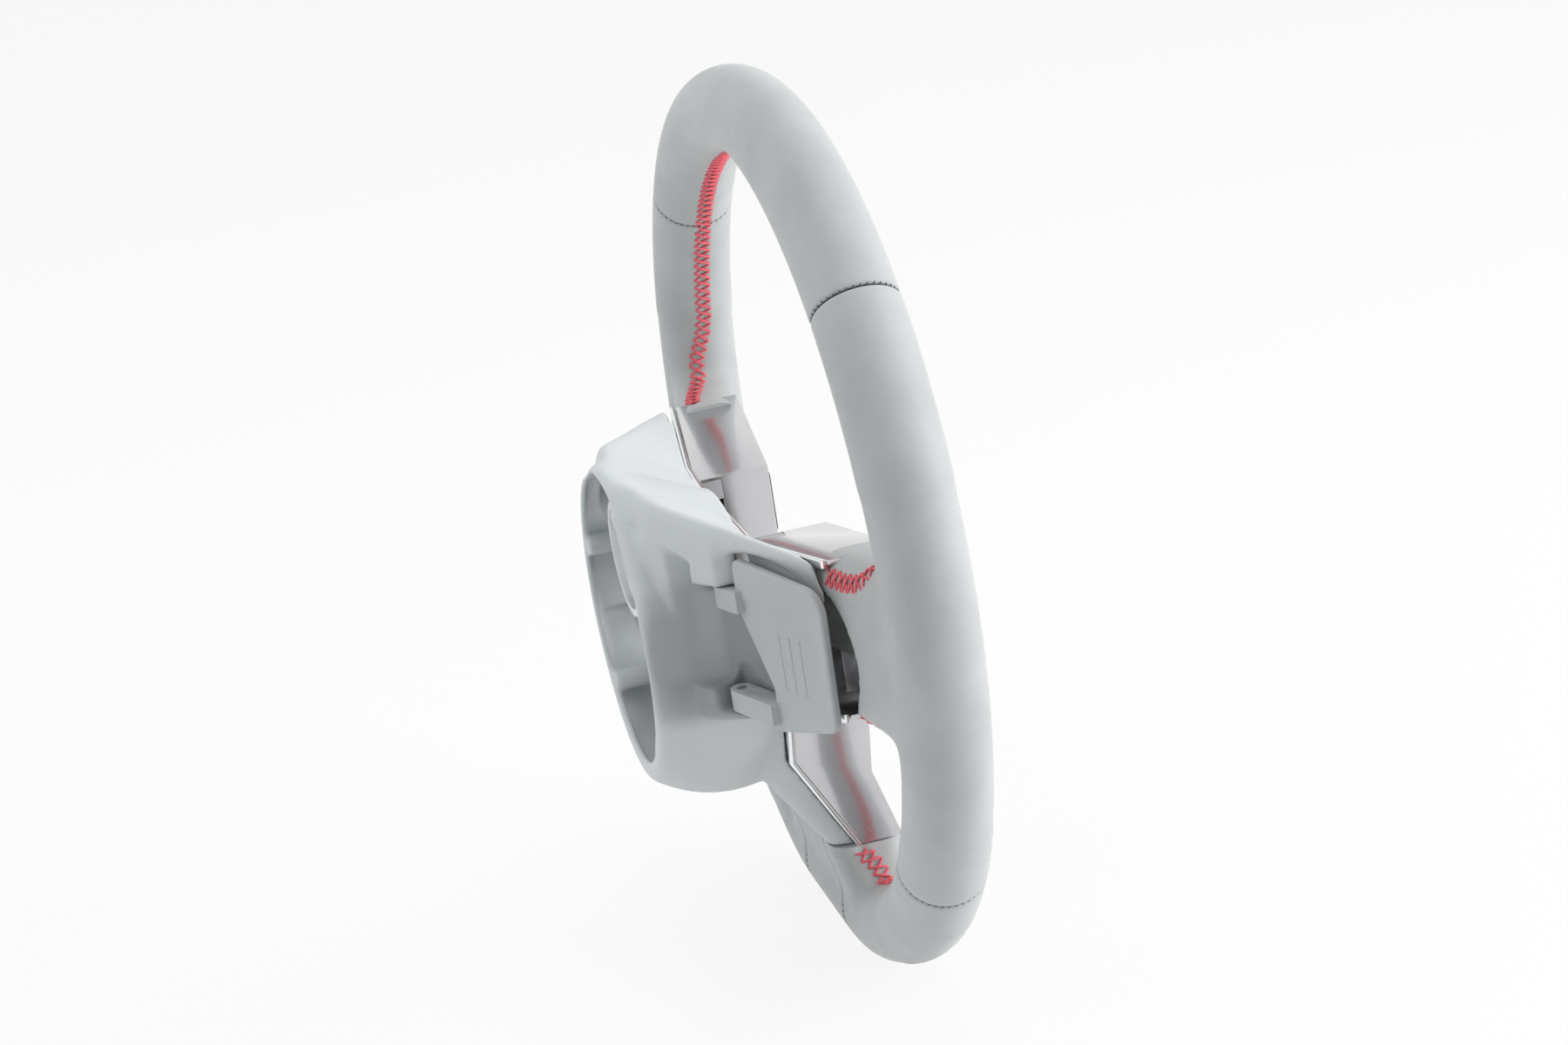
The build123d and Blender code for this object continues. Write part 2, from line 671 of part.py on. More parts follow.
def cover_posts(radius):
    """Posts inside the cover, from the armature's lugs back to the rear lip."""
    rear = COVER_REAR - COVER_WALL / 2
    posts = [rod((x, level + LUG_THICKNESS, z), (x, rear, z), radius) for x, z, level in screw_places()]
    return both_sides(posts[0] + posts[1])


def screw_holes(radius, front_extra, bite):
    """Round bars on the four screw axes."""
    bars = [
        rod((x, level - front_extra, z), (x, level + LUG_THICKNESS + bite, z), radius)
        for x, z, level in screw_places()
    ]
    return both_sides(bars[0] + bars[1])


def rear_cover():
    """Shell of the back of the wheel."""
    pockets = both_sides(pocket(0))
    solid_zones = both_sides(pocket(COVER_WALL) + pin_lugs())
    inside = cover_body(COVER_WALL) - solid_zones
    opening = Ellipse(POT_REAR_HALF - LIP_WIDTH, POT_REAR_HEIGHT - LIP_WIDTH)
    column = extrude(facing_driver(COVER_REAR + 1) * (Pos(0, POT_REAR_CENTRE) * opening), 2 * COVER_WALL + 1)
    cover = cover_body(0) - inside - pockets - column
    cover = cover - ahead_of_parting(STRIP_WIDTH / 2 + STRIP_CLEARANCE)
    cover = cover & spoke_space()
    cover += cover_posts(POST_RADIUS) & cover_body(0)
    cover -= screw_holes(SCREW_RADIUS, 0, SCREW_BITE + 1)
    return cover - both_sides(pivot_pins(PIN_RADIUS + PIN_RUNNING))


def trim_strips():
    """Bright strips along the parting, cut at the stubs into one upper and two lower pieces."""
    ring = spoke_prism(-STRIP_PROUD) - spoke_prism(STRIP_DEPTH)
    band = ahead_of_parting(STRIP_WIDTH / 2) - ahead_of_parting(-STRIP_WIDTH / 2)
    return (ring & band) & spoke_space()


def airbag_recess(grow, rear):
    """Recess in the middle of the front bezel, open at the top, down to a level behind the rim's plane."""
    half = BEZEL_INNER + grow
    bottom = RECESS_BOTTOM - grow
    corner = RECESS_ROUND + grow
    corners = [(-half, WIDE), (-half, bottom), (half, bottom), (half, WIDE)]
    outline = rounded(corners, [RECESS_END_ROUND, corner, corner, RECESS_END_ROUND])
    return extrude(facing_driver(rear) * outline, rear + WIDE)


def behind_front(inset):
    """Everything behind the bezel's front face, which falls towards the rim along each spoke."""
    arm_end = between(WIDE, BEZEL_INNER, BEZEL_INNER_FRONT, STUB_END, STUB_FRONT) + inset
    arm_middle = between(0, BEZEL_INNER, BEZEL_INNER_FRONT, STUB_END, STUB_FRONT) + inset
    arms = polygon((-WIDE, WIDE), (-WIDE, arm_end), (0, arm_middle), (WIDE, arm_end), (WIDE, WIDE))
    leg_end = between(-WIDE, RECESS_BOTTOM, RECESS_BOTTOM_FRONT, LEG_END, LOWER_STUB_FRONT) + inset
    leg_middle = between(0, RECESS_BOTTOM, RECESS_BOTTOM_FRONT, LEG_END, LOWER_STUB_FRONT) + inset
    leg = polygon((WIDE, -WIDE), (leg_end, -WIDE), (leg_middle, 0), (WIDE, 0))
    return extrude(level_plane(-WIDE) * arms, 2 * WIDE) + extrude(across(-WIDE) * leg, 2 * WIDE)


def front_bezel():
    """Gloss front of the spokes: a shell round the airbag recess with a window for each switch cluster."""
    outside = (spoke_prism(0) & behind_front(0)) - airbag_recess(0, COVER_REAR)
    inside = spoke_prism(BEZEL_WALL) & behind_front(BEZEL_WALL)
    inside -= airbag_recess(BEZEL_WALL, RECESS_WALL_REAR)
    shell = (outside - inside) & ahead_of_parting(-STRIP_WIDTH / 2 - STRIP_CLEARANCE) & spoke_space()
    room = 2 * CLUSTER_FIT
    window = RectangleRounded(CLUSTER_WIDTH + room, CLUSTER_HEIGHT + room, CLUSTER_CORNER)
    return shell - both_sides(extrude(cluster_plane() * window, CLUSTER_DEPTH, both=True))


def cluster_plane():
    """Plane of the right housing's front face at the switch cluster, x outwards, y up."""
    out = Vector(STUB_END - BEZEL_INNER, STUB_FRONT - BEZEL_INNER_FRONT, 0).normalized()
    level = between(CLUSTER_X, BEZEL_INNER, BEZEL_INNER_FRONT, STUB_END, STUB_FRONT)
    return Plane(origin=(CLUSTER_X, level, CLUSTER_Z), x_dir=out, z_dir=(out.Y, -out.X, 0))


def cluster_box(width, height, corner, low, high, x=0.0, y=0.0):
    """Rounded block in the switch cluster between two heights over the housing's face."""
    face = Pos(x, y, low) * RectangleRounded(width, height, corner)
    return cluster_plane() * extrude(face, high - low)


def rocker_axle(radius, reach):
    """Axle of the rocker, across the cluster."""
    half = ROCKER_WIDTH / 2 + reach
    bar = rod((ROCKER_OFFSET - half, 0, -KEY_DEPTH / 2), (ROCKER_OFFSET + half, 0, -KEY_DEPTH / 2), radius)
    return cluster_plane() * bar


def switch_housing():
    """Right switch housing with its rear flange and wells for the rocker and two keys."""
    housing = cluster_box(CLUSTER_WIDTH, CLUSTER_HEIGHT, CLUSTER_CORNER, -CLUSTER_DEPTH, CLUSTER_PROUD)
    flange_front = -BEZEL_WALL - CLUSTER_FIT
    housing += cluster_box(
        CLUSTER_WIDTH + 2 * FLANGE_WIDTH,
        CLUSTER_HEIGHT + 2 * FLANGE_WIDTH,
        CLUSTER_CORNER,
        flange_front - FLANGE_THICKNESS,
        flange_front,
    )
    well = (-CLUSTER_DEPTH, CLUSTER_PROUD)
    gap = 2 * KEY_GAP
    housing -= cluster_box(ROCKER_WIDTH + gap, ROCKER_HEIGHT + gap, KEY_ROUND, *well, ROCKER_OFFSET)
    for side in (1, -1):
        place = (KEY_OFFSET, side * KEY_PITCH / 2)
        housing -= cluster_box(KEY_WIDTH + gap, KEY_HEIGHT + gap, KEY_ROUND, *well, *place)
    return housing - rocker_axle(ROCKER_AXLE + PIN_RUNNING, ROCKER_AXLE_REACH + KEY_GAP)


def rocker():
    """Right rocker with its axle ends."""
    depth = (-KEY_DEPTH, CLUSTER_PROUD + KEY_PROUD)
    key = cluster_box(ROCKER_WIDTH, ROCKER_HEIGHT, KEY_ROUND, *depth, ROCKER_OFFSET)
    return key + rocker_axle(ROCKER_AXLE, ROCKER_AXLE_REACH)


def push_key(side):
    """Right push key, above the middle for side 1 and below it for side -1."""
    return cluster_box(
        KEY_WIDTH, KEY_HEIGHT, KEY_ROUND, -KEY_DEPTH, CLUSTER_PROUD + KEY_PROUD, KEY_OFFSET, side * KEY_PITCH / 2
    )


def switch_board():
    """Circuit board that closes the right switch housing from behind."""
    return cluster_box(
        CLUSTER_WIDTH, CLUSTER_HEIGHT, CLUSTER_CORNER, -CLUSTER_DEPTH - BOARD_THICKNESS, -CLUSTER_DEPTH
    )


def bar_face(points, thickness):
    """Bent bar seen from the side: the points are its middle line."""
    rear = [(a, b + thickness / 2) for a, b in points]
    front = [(a, b - thickness / 2) for a, b in reversed(points)]
    return polygon(*rear, *front)


def bridge_front():
    """Level of the front face of the bridge between the legs."""
    web_middle = WEB_FRONT + WEB_THICKNESS / 2
    return between(-BRIDGE_Z, HUB_RING, web_middle, -LEG_BAR_KNEE, LEG_BAR_KNEE_LEVEL) - LEG_BAR / 2


def armature():
    """Die casting: hub, two arms, two legs with a bridge, screw lugs and the rim's channel core."""
    boss = INSERT_RADIUS + BOSS_WALL
    hub_front = HUB_SETBACK - INSERT_LENGTH
    web_rear = WEB_FRONT + WEB_THICKNESS
    profile = polygon(
        (INSERT_RADIUS, hub_front),
        (boss, hub_front),
        (boss, WEB_FRONT),
        (HUB_RING, WEB_FRONT),
        (HUB_RING, HUB_RING_REAR),
        (HUB_RING - HUB_RING_WALL, HUB_RING_REAR),
        (HUB_RING - HUB_RING_WALL, web_rear),
        (boss, web_rear),
        (boss, HUB_SETBACK),
        (INSERT_RADIUS, HUB_SETBACK),
    )
    casting = revolve(level_plane(0) * profile, Axis.Y)
    web_middle = WEB_FRONT + WEB_THICKNESS / 2
    arm = bar_face(
        [
            (INSERT_RADIUS + BOSS_WALL / 2, web_middle),
            (HUB_RING, web_middle),
            (ARM_KNEE_X, ARM_KNEE_LEVEL),
            (ARM_ELBOW_X, ARM_ELBOW_LEVEL),
            (STUB_END + BAR_ROOT_REACH, BAR_ROOT_LEVEL),
            (RIM_RADIUS, 0),
        ],
        ARM_BAR,
    )
    arms = both_sides(extrude(level_plane(ARM_BAR_BOTTOM) * arm, ARM_BAR_TOP - ARM_BAR_BOTTOM))
    flat = RIM_RADIUS - FLAT_DEPTH
    leg_line = bar_face(
        [
            (INSERT_RADIUS + BOSS_WALL / 2, web_middle),
            (HUB_RING, web_middle),
            (-LEG_BAR_KNEE, LEG_BAR_KNEE_LEVEL),
            (-LEG_BAR_ELBOW, LEG_BAR_ELBOW_LEVEL),
            (LEG_BAR_ROOT_REACH - LEG_END, BAR_ROOT_LEVEL),
            (flat, 0),
        ],
        LEG_BAR,
    )
    side_view = Plane(origin=(LEG_BAR_X - LEG_BAR_WIDTH / 2, 0, 0), x_dir=(0, 0, -1), z_dir=(1, 0, 0))
    legs = both_sides(extrude(side_view * leg_line, LEG_BAR_WIDTH))
    bridge = block(
        (-LEG_BAR_X, LEG_BAR_X),
        (bridge_front(), bridge_front() + LEG_BAR),
        (BRIDGE_Z - BRIDGE_HEIGHT / 2, BRIDGE_Z + BRIDGE_HEIGHT / 2),
    )
    channel = Rectangle(CORE_WIDTH, CORE_DEPTH)
    channel -= Pos(0, CORE_WALL / 2) * Rectangle(CORE_WIDTH - 2 * CORE_WALL, CORE_DEPTH - CORE_WALL)
    casting = casting + arms + legs + bridge + round_rim(channel)
    casting -= rod((0, hub_front, 0), (0, HUB_SETBACK, 0), INSERT_RADIUS)
    lugs = [
        rod((x, level, z), (x, level + LUG_THICKNESS, z), LUG_RADIUS) for x, z, level in screw_places()
    ]
    lower_tie = block(
        (LEG_BAR_X, LOWER_SCREW_X),
        (LOWER_LUG_LEVEL, LOWER_LUG_LEVEL + LUG_THICKNESS),
        (LOWER_SCREW_Z - TIE_HALF, LOWER_SCREW_Z + TIE_HALF),
    )
    casting += both_sides(lugs[0] + lugs[1] + lower_tie)
    spot_face = POST_RADIUS + SPOT_FACE_CLEARANCE
    for x, z, level in screw_places():
        rear = level + LUG_THICKNESS
        casting -= both_sides(rod((x, level - SPOT_FACE_REACH, z), (x, level, z), spot_face))
        casting -= both_sides(rod((x, rear, z), (x, rear + SPOT_FACE_REACH, z), spot_face))
    return casting - screw_holes(SCREW_RADIUS + SCREW_CLEARANCE, LUG_THICKNESS, 0)


def column_insert():
    """Steel sleeve with the bore for the column."""
    start = (0, HUB_SETBACK - INSERT_LENGTH, 0)
    end = (0, HUB_SETBACK, 0)
    return rod(start, end, INSERT_RADIUS) - rod(start, end, BORE_RADIUS)


def cover_screws():
    """Four screws from the armature into the cover's posts."""
    head = SCREW_HEAD_RADIUS
    heads = [rod((x, level - SCREW_HEAD, z), (x, level, z), head) for x, z, level in screw_places()]
    return screw_holes(SCREW_RADIUS, 0, SCREW_BITE) + both_sides(heads[0] + heads[1])


def floor_plane():
    """Plane of the right pocket's floor, x outwards, y up, normal to the rear."""
    out = Vector(STUB_END - POCKET_FLOOR, POCKET_END_LEVEL - POCKET_FLOOR_LEVEL, 0).normalized()
    return Plane(origin=(POCKET_FLOOR, POCKET_FLOOR_LEVEL, 0), x_dir=out, z_dir=(-out.Y, out.X, 0))


def paddle_switch():
    """Micro switch on the right pocket's floor, under the paddle."""
    along = SWITCH_X - POCKET_FLOOR
    case = Pos(along, -SWITCH_Z, SWITCH_HEIGHT / 2) * Box(SWITCH_LENGTH, SWITCH_BREADTH, SWITCH_HEIGHT)
    tip = SWITCH_HEIGHT + PLUNGER_HEIGHT
    plunger = rod((along, -SWITCH_Z, SWITCH_HEIGHT), (along, -SWITCH_Z, tip), PLUNGER_RADIUS)
    return floor_plane() * (case + plunger)


def plate_height(along):
    """Height of the paddle's front face over the pocket floor, at a place along the floor."""
    floor = floor_plane()
    plate = paddle_plane()
    point = floor.origin + floor.x_dir * along
    middle = (plate.origin - point).dot(plate.z_dir) / floor.z_dir.dot(plate.z_dir)
    return middle - PADDLE_PLATE / 2


def paddle_spring():
    """Leaf spring from the right pocket's floor up to the front of the paddle's plate."""
    floor = floor_plane()
    lift = plate_height(LEAF_TIP_END) - LEAF_CLEARANCE - LEAF_THICKNESS / 2
    line = [
        (LEAF_FOOT_START, LEAF_THICKNESS / 2),
        (LEAF_FOOT_END, LEAF_THICKNESS / 2),
        (LEAF_TIP_START, lift),
        (LEAF_TIP_END, lift),
    ]
    origin = floor.origin + Vector(0, 0, LEAF_Z - LEAF_WIDTH / 2)
    edge = Plane(origin=origin, x_dir=floor.x_dir, z_dir=(0, 0, 1))
    return extrude(edge * bar_face(line, LEAF_THICKNESS), LEAF_WIDTH)


def harness():
    """Cable between the two switch boards with a branch to the plug on the bridge."""
    board = cluster_plane() * Pos(CABLE_MARGIN - CLUSTER_WIDTH / 2, 0, -CLUSTER_DEPTH - BOARD_THICKNESS)
    start = board.position
    points = [
        (start.X, start.Y, CABLE_Z),
        (start.X, CABLE_LEVEL, CABLE_Z),
        (-start.X, CABLE_LEVEL, CABLE_Z),
        (-start.X, start.Y, CABLE_Z),
    ]
    path = FilletPolyline(*points, radius=CABLE_BEND)
    loom = sweep(Plane(origin=path @ 0, z_dir=path % 0) * Circle(CABLE_RADIUS), path=path)
    return loom + rod((0, CABLE_LEVEL, CABLE_Z), (0, CABLE_LEVEL, plug_top()), CABLE_RADIUS)


def plug_top():
    """Height of the plug's upper end."""
    return BRIDGE_Z + PLUG_HEIGHT / 2


def plug():
    """Plug that sits on the armature's bridge."""
    half = PLUG_WIDTH / 2
    depth = (CABLE_LEVEL - PLUG_MARGIN, bridge_front())
    return block((-half, half), depth, (BRIDGE_Z - PLUG_HEIGHT / 2, plug_top()))


def seam_cuts():
    """Thin slots that divide the leather into its six pieces."""
    slot = Box(4 * GRIP_RADIUS, 4 * GRIP_RADIUS, SEAM_GAP)
    cuts = station((0, 0), RIM_RADIUS, UPPER_SEAM_ANGLE) * slot
    cuts += station((0, 0), RIM_RADIUS, -LOWER_SEAM_ANGLE) * slot
    cuts += block((CORNER_X - SEAM_GAP / 2, CORNER_X + SEAM_GAP / 2), (-WIDE, WIDE), (-WIDE, CORNER_Z))
    return both_sides(cuts)


def leather_name(centre):
    """Name of a leather piece by the place of its centre."""
    side = "right" if centre.X > 0 else "left"
    if centre.Z > RIM_RADIUS / 2:
        return "leather_top"
    if abs(centre.X) < CORNER_X / 2:
        return "leather_bottom"
    if centre.Z > -RIM_RADIUS / 3:
        return "leather_" + side
    return "leather_lower_" + side


def pair(pieces, name, solid):
    """Adds a right-hand piece and its mirror image for the left."""
    pieces["right_" + name] = solid
    pieces["left_" + name] = mirror(solid, about=Plane.YZ)


def build():
    """All pieces by node name."""
    pieces = {"armature": armature(), "column_insert": column_insert()}
    core = grip_body(LEATHER)
    pieces["rim_foam"] = core - pieces["armature"]
    for piece in (grip_body(0) - core - seam_cuts()).solids():
        pieces[leather_name(piece.center())] = piece
    pieces["rear_cover"] = rear_cover()
    pieces["cover_screws"] = cover_screws()
    strips = trim_strips().solids().sort_by(Axis.Z)
    pieces["upper_trim_strip"] = strips[-1]
    lower = strips[:2].sort_by(Axis.X)
    pieces["lower_left_trim_strip"] = lower[0]
    pieces["lower_right_trim_strip"] = lower[1]
    pieces["front_bezel"] = front_bezel()
    pair(pieces, "switch_housing", switch_housing())
    pair(pieces, "switch_board", switch_board())
    pair(pieces, "rocker", rocker())
    pair(pieces, "upper_key", push_key(1))
    pair(pieces, "lower_key", push_key(-1))
    pair(pieces, "paddle", paddle())
    pair(pieces, "paddle_pins", pivot_pins(PIN_RADIUS))
    pair(pieces, "paddle_switch", paddle_switch())
    pair(pieces, "paddle_spring", paddle_spring())
    pieces["wiring_harness"] = harness()
    pieces["harness_connector"] = plug()
    return pieces


os.makedirs("parts", exist_ok=True)
for node, shape in build().items():
    export_step(Pos(0, -HUB_SETBACK, 0) * shape, "parts/" + node + ".step")
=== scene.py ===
from math import atan2, cos, pi, radians, sin, sqrt, tau

import bmesh
import bpy
from bpy.props import FloatProperty, FloatVectorProperty, IntProperty, PointerProperty
from mathutils import Matrix, Vector
from mathutils.bvhtree import BVHTree
from mathutils.kdtree import KDTree


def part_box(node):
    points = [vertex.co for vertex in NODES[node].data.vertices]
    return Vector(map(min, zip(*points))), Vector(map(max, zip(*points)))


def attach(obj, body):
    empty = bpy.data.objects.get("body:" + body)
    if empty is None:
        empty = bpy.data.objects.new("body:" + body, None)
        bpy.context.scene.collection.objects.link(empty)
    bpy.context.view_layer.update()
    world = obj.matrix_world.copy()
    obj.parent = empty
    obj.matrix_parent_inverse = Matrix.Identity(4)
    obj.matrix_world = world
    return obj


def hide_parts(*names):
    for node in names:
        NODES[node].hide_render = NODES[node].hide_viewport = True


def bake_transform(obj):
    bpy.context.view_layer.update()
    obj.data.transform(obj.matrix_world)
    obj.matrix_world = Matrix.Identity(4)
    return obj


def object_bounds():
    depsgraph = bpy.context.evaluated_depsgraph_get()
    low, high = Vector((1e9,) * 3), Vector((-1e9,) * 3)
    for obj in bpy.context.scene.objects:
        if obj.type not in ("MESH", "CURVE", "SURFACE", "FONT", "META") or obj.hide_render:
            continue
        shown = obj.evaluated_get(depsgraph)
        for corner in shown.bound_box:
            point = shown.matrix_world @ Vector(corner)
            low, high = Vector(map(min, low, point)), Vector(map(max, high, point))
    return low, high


bl_info = {
    "name": "Leather steering wheel",
    "version": (1, 0, 0),
    "blender": (4, 5, 0),
    "location": "3D View > Sidebar > Wheel",
    "description": "Dresses a three-spoke car steering wheel in leather, lacing, plastic and metal",
    "category": "Object",
}

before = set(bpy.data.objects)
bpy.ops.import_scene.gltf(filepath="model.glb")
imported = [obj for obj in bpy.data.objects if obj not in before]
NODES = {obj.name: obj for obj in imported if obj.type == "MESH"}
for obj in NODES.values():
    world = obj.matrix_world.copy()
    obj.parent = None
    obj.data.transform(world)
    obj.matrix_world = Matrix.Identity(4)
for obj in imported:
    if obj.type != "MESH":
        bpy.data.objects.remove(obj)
CAD_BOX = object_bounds()

# The rim as the frame gives it: centre plane, grip radius, circle and flat bottom
TOP_LOW, TOP_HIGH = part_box("leather_top")
BOTTOM_LOW, BOTTOM_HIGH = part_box("leather_bottom")
RIM_Y = (TOP_LOW.y + TOP_HIGH.y) / 2
GRIP = (TOP_HIGH.y - TOP_LOW.y) / 2
RIM = TOP_HIGH.z - GRIP
FLAT = -BOTTOM_LOW.z - GRIP
SIDE_STUB_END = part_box("leather_right")[0].x
LOWER_STUB_END = -BOTTOM_HIGH.z
SIDES = (("left", -1), ("right", 1))
LEATHER_NODES = ("top", "left", "right", "lower_left", "lower_right", "bottom")
BACK = Vector((0.0, 1.0, 0.0))

# Where most values of a noise lie
NOISE_LOW, NOISE_HIGH = 0.3, 0.7

# Steps of the rim's section, its main arc, and each corner arc and the flat bottom
RIM_SEGMENTS, ARC_STEPS, CORNER_STEPS = 72, 200, 14

# Stubs: where they start, how they run into the rim, and their level on the way there
SKIN_SWELL = 0.0003
FOAM_SETBACK, SKIN_SPARE = 0.0008, 0.006
STUB_LEAD = 0.004
ROOT_SLACK = 0.005
NECK, NECK_LEVEL, NECK_GROWTH = 0.012, 0.6, 0.002
THROAT, THROAT_LEVEL = 0.003, 0.25
LOWER_THROAT, LOWER_THROAT_LEVEL = 0.002, 0.35
SIDE_ROOT, LOWER_ROOT = 0.008, 0.006

# Smoothing of the whole skin, and of its creases
SKIN_ROUNDS, FOAM_CREASE_ROUNDS, LEATHER_CREASE_ROUNDS = 6, 20, 55

# Creases between stubs and rim: where they start and how far they reach
SIDE_CREASE, SIDE_CREASE_DOWN, SIDE_CREASE_UP = 0.008, 0.04, 0.035
LOWER_CREASE, LOWER_CREASE_OUT = 0.005, 0.035

# Notches: length of the cutter, and the edge that is relaxed above the floor
NOTCH_CUT, NOTCH_EDGE, NOTCH_STEP, NOTCH_ROUNDS = 0.08, 0.0022, 0.002, 3

# Bounds of the side stubs and the lower stub, for cutting their ends
SIDE_STUB_FROM, SIDE_STUB_HALF, LOWER_STUB_FROM, LOWER_STUB_HALF = 0.1, 0.06, -0.1, 0.075

# Cuts across a rolled edge, in shares of its width
ROLL_CUTS = (0.12, 0.3, 0.55, 0.85, 1.2)

# Groove under the lacing, and the step along its line
GROOVE_REACH, GROOVE_DEPTH, GROOVE_STEP = 0.003, 0.0009, 0.001

# Lacing's route from the rim's centre plane, where it leaves the rim's inside
RIGHT_SHOULDER = (
    (0.121, 0.0155, 0.0225),
    (0.13, 0.0135, 0.0235),
    (0.138, 0.0105, 0.026),
    (0.1455, 0.006, 0.034),
)
LEFT_SHOULDER = (
    (0.121, 0.0255, 0.0172),
    (0.1285, 0.0238, 0.0177),
    (0.1355, 0.0208, 0.0175),
    (0.142, 0.017, 0.018),
    (0.1468, 0.0122, 0.0205),
    (0.1495, 0.0055, 0.026),
    (0.149, -0.001, 0.0335),
    (0.146, -0.002, 0.044),
)
UNDERSIDE = (
    (0.122, 0.021, -0.0405),
    (0.133, 0.0165, -0.0435),
    (0.1395, 0.0085, -0.051),
    (0.1385, 0.002, -0.061),
)
LEG_SIDE = (
    (0.0625, 0.0005, -0.1395),
    (0.053, 0.0028, -0.1385),
    (0.0487, 0.0065, -0.133),
    (0.0475, 0.0105, -0.1265),
)

# Bearings in degrees of its points on the rim's inside
BOW_BEARINGS = range(19, 152, 6)
LOWER_BEARINGS = range(29, 62, 5)

# Threads: way and lift of a cross's two strands, and (share of the length, height) along a strand
CROSS = ((1, 0.55), (-1, 1.35))
STRAND = ((0.0, -0.9), (0.1, 0.45), (0.9, 0.45), (1.0, -0.9))
STRAND_BULK = 1.35

# Stitch across a seam: (share of the rolled edge, depth), and where the lower stub hides it
SEAM_STITCH = ((-1.0, 0.0007), (-0.55, 0.00035), (0.0, 0.00055), (0.55, 0.00035), (1.0, 0.0007))
SEAM_HIDDEN = -0.5

# Rear cover: width kept sharp beside the strips, ridge of the arms, share of its faces kept
STRIP_REACH = 0.003
RIDGE = ((0.0, 0.081, 0.039), (0.048, 0.072, 0.037), (0.0798, 0.054, 0.0325), (0.122, 0.03, 0.0234))
RIDGE_UP = Vector((0.0, 0.5, 0.85))
COVER_SHARE = 0.74

# Finger pockets: bounds over which the cover's colour is painted darker as the shade in these
# recesses, and how much
POCKET_SIDE, POCKET_TOP, POCKET_FOOT = (0.053, 0.063), (0.001, 0.009), (-0.056, -0.048)
POCKET_PAINTED_SHADE = -0.8

# Leaf springs: where the right one's foot ends and its tip starts, cuts between, and sharp angle
LEAF_FOOT, LEAF_TIP, LEAF_CUTS = (0.0962, -0.0445, -0.006), (0.1127, -0.0407, -0.006), 8
LEAF_SHARP = 1.0

# Web in each recess wall: its size, and the right one's place from the rim's centre plane
WEB_SIZE, WEB_PLACE = (0.002, 0.0096, 0.0093), (0.0462, 0.0279, 0.00585)

# Moulded plastics: roughness, grain in cells per metre, and its depth
PADDLE_GRAIN, SWITCH_GRAIN = (0.46, 2200.0, 0.00003), (0.5, 1800.0, 0.00003)
HOUSING_GRAIN, KEY_GRAIN = (0.48, 1700.0, 0.00004), (0.4, 2200.0, 0.00002)
PLUG_GRAIN = (0.4, 1500.0, 0.00002)

# Stage
LAMP_SIZE = 1.5
KEY_PLACE, REAR_PLACE, TOP_PLACE = (-0.75, -1.8, 0.3), (-0.2, 1.75, 1.2), (-0.1, -0.2, 2.1)
FLOOR_HALF, FLOOR_DROP, FLOOR_SHADE, FLOOR_GLOW = 6.0, 0.0005, 0.86, 0.86
SHADE_FROM, SHADE_TO = 0.15, 0.8


def length(label, about, default):
    """A length property in metres."""
    return FloatProperty(name=label, description=about, default=default, unit="LENGTH", precision=5)


def count(label, about, default):
    """A number of rounds."""
    return IntProperty(name=label, description=about, default=default, min=0)


def strength(label, about, default):
    """Strength or power of a light."""
    return FloatProperty(name=label, description=about, default=default, min=0.0)


def angle(label, about, default):
    """An angle property given in degrees."""
    return FloatProperty(name=label, description=about, default=radians(default), unit="ROTATION")


def colour(label, about, default):
    """A colour property, linear."""
    return FloatVectorProperty(
        name=label, description=about, default=default, size=3, subtype="COLOR", min=0.0, max=1.0
    )


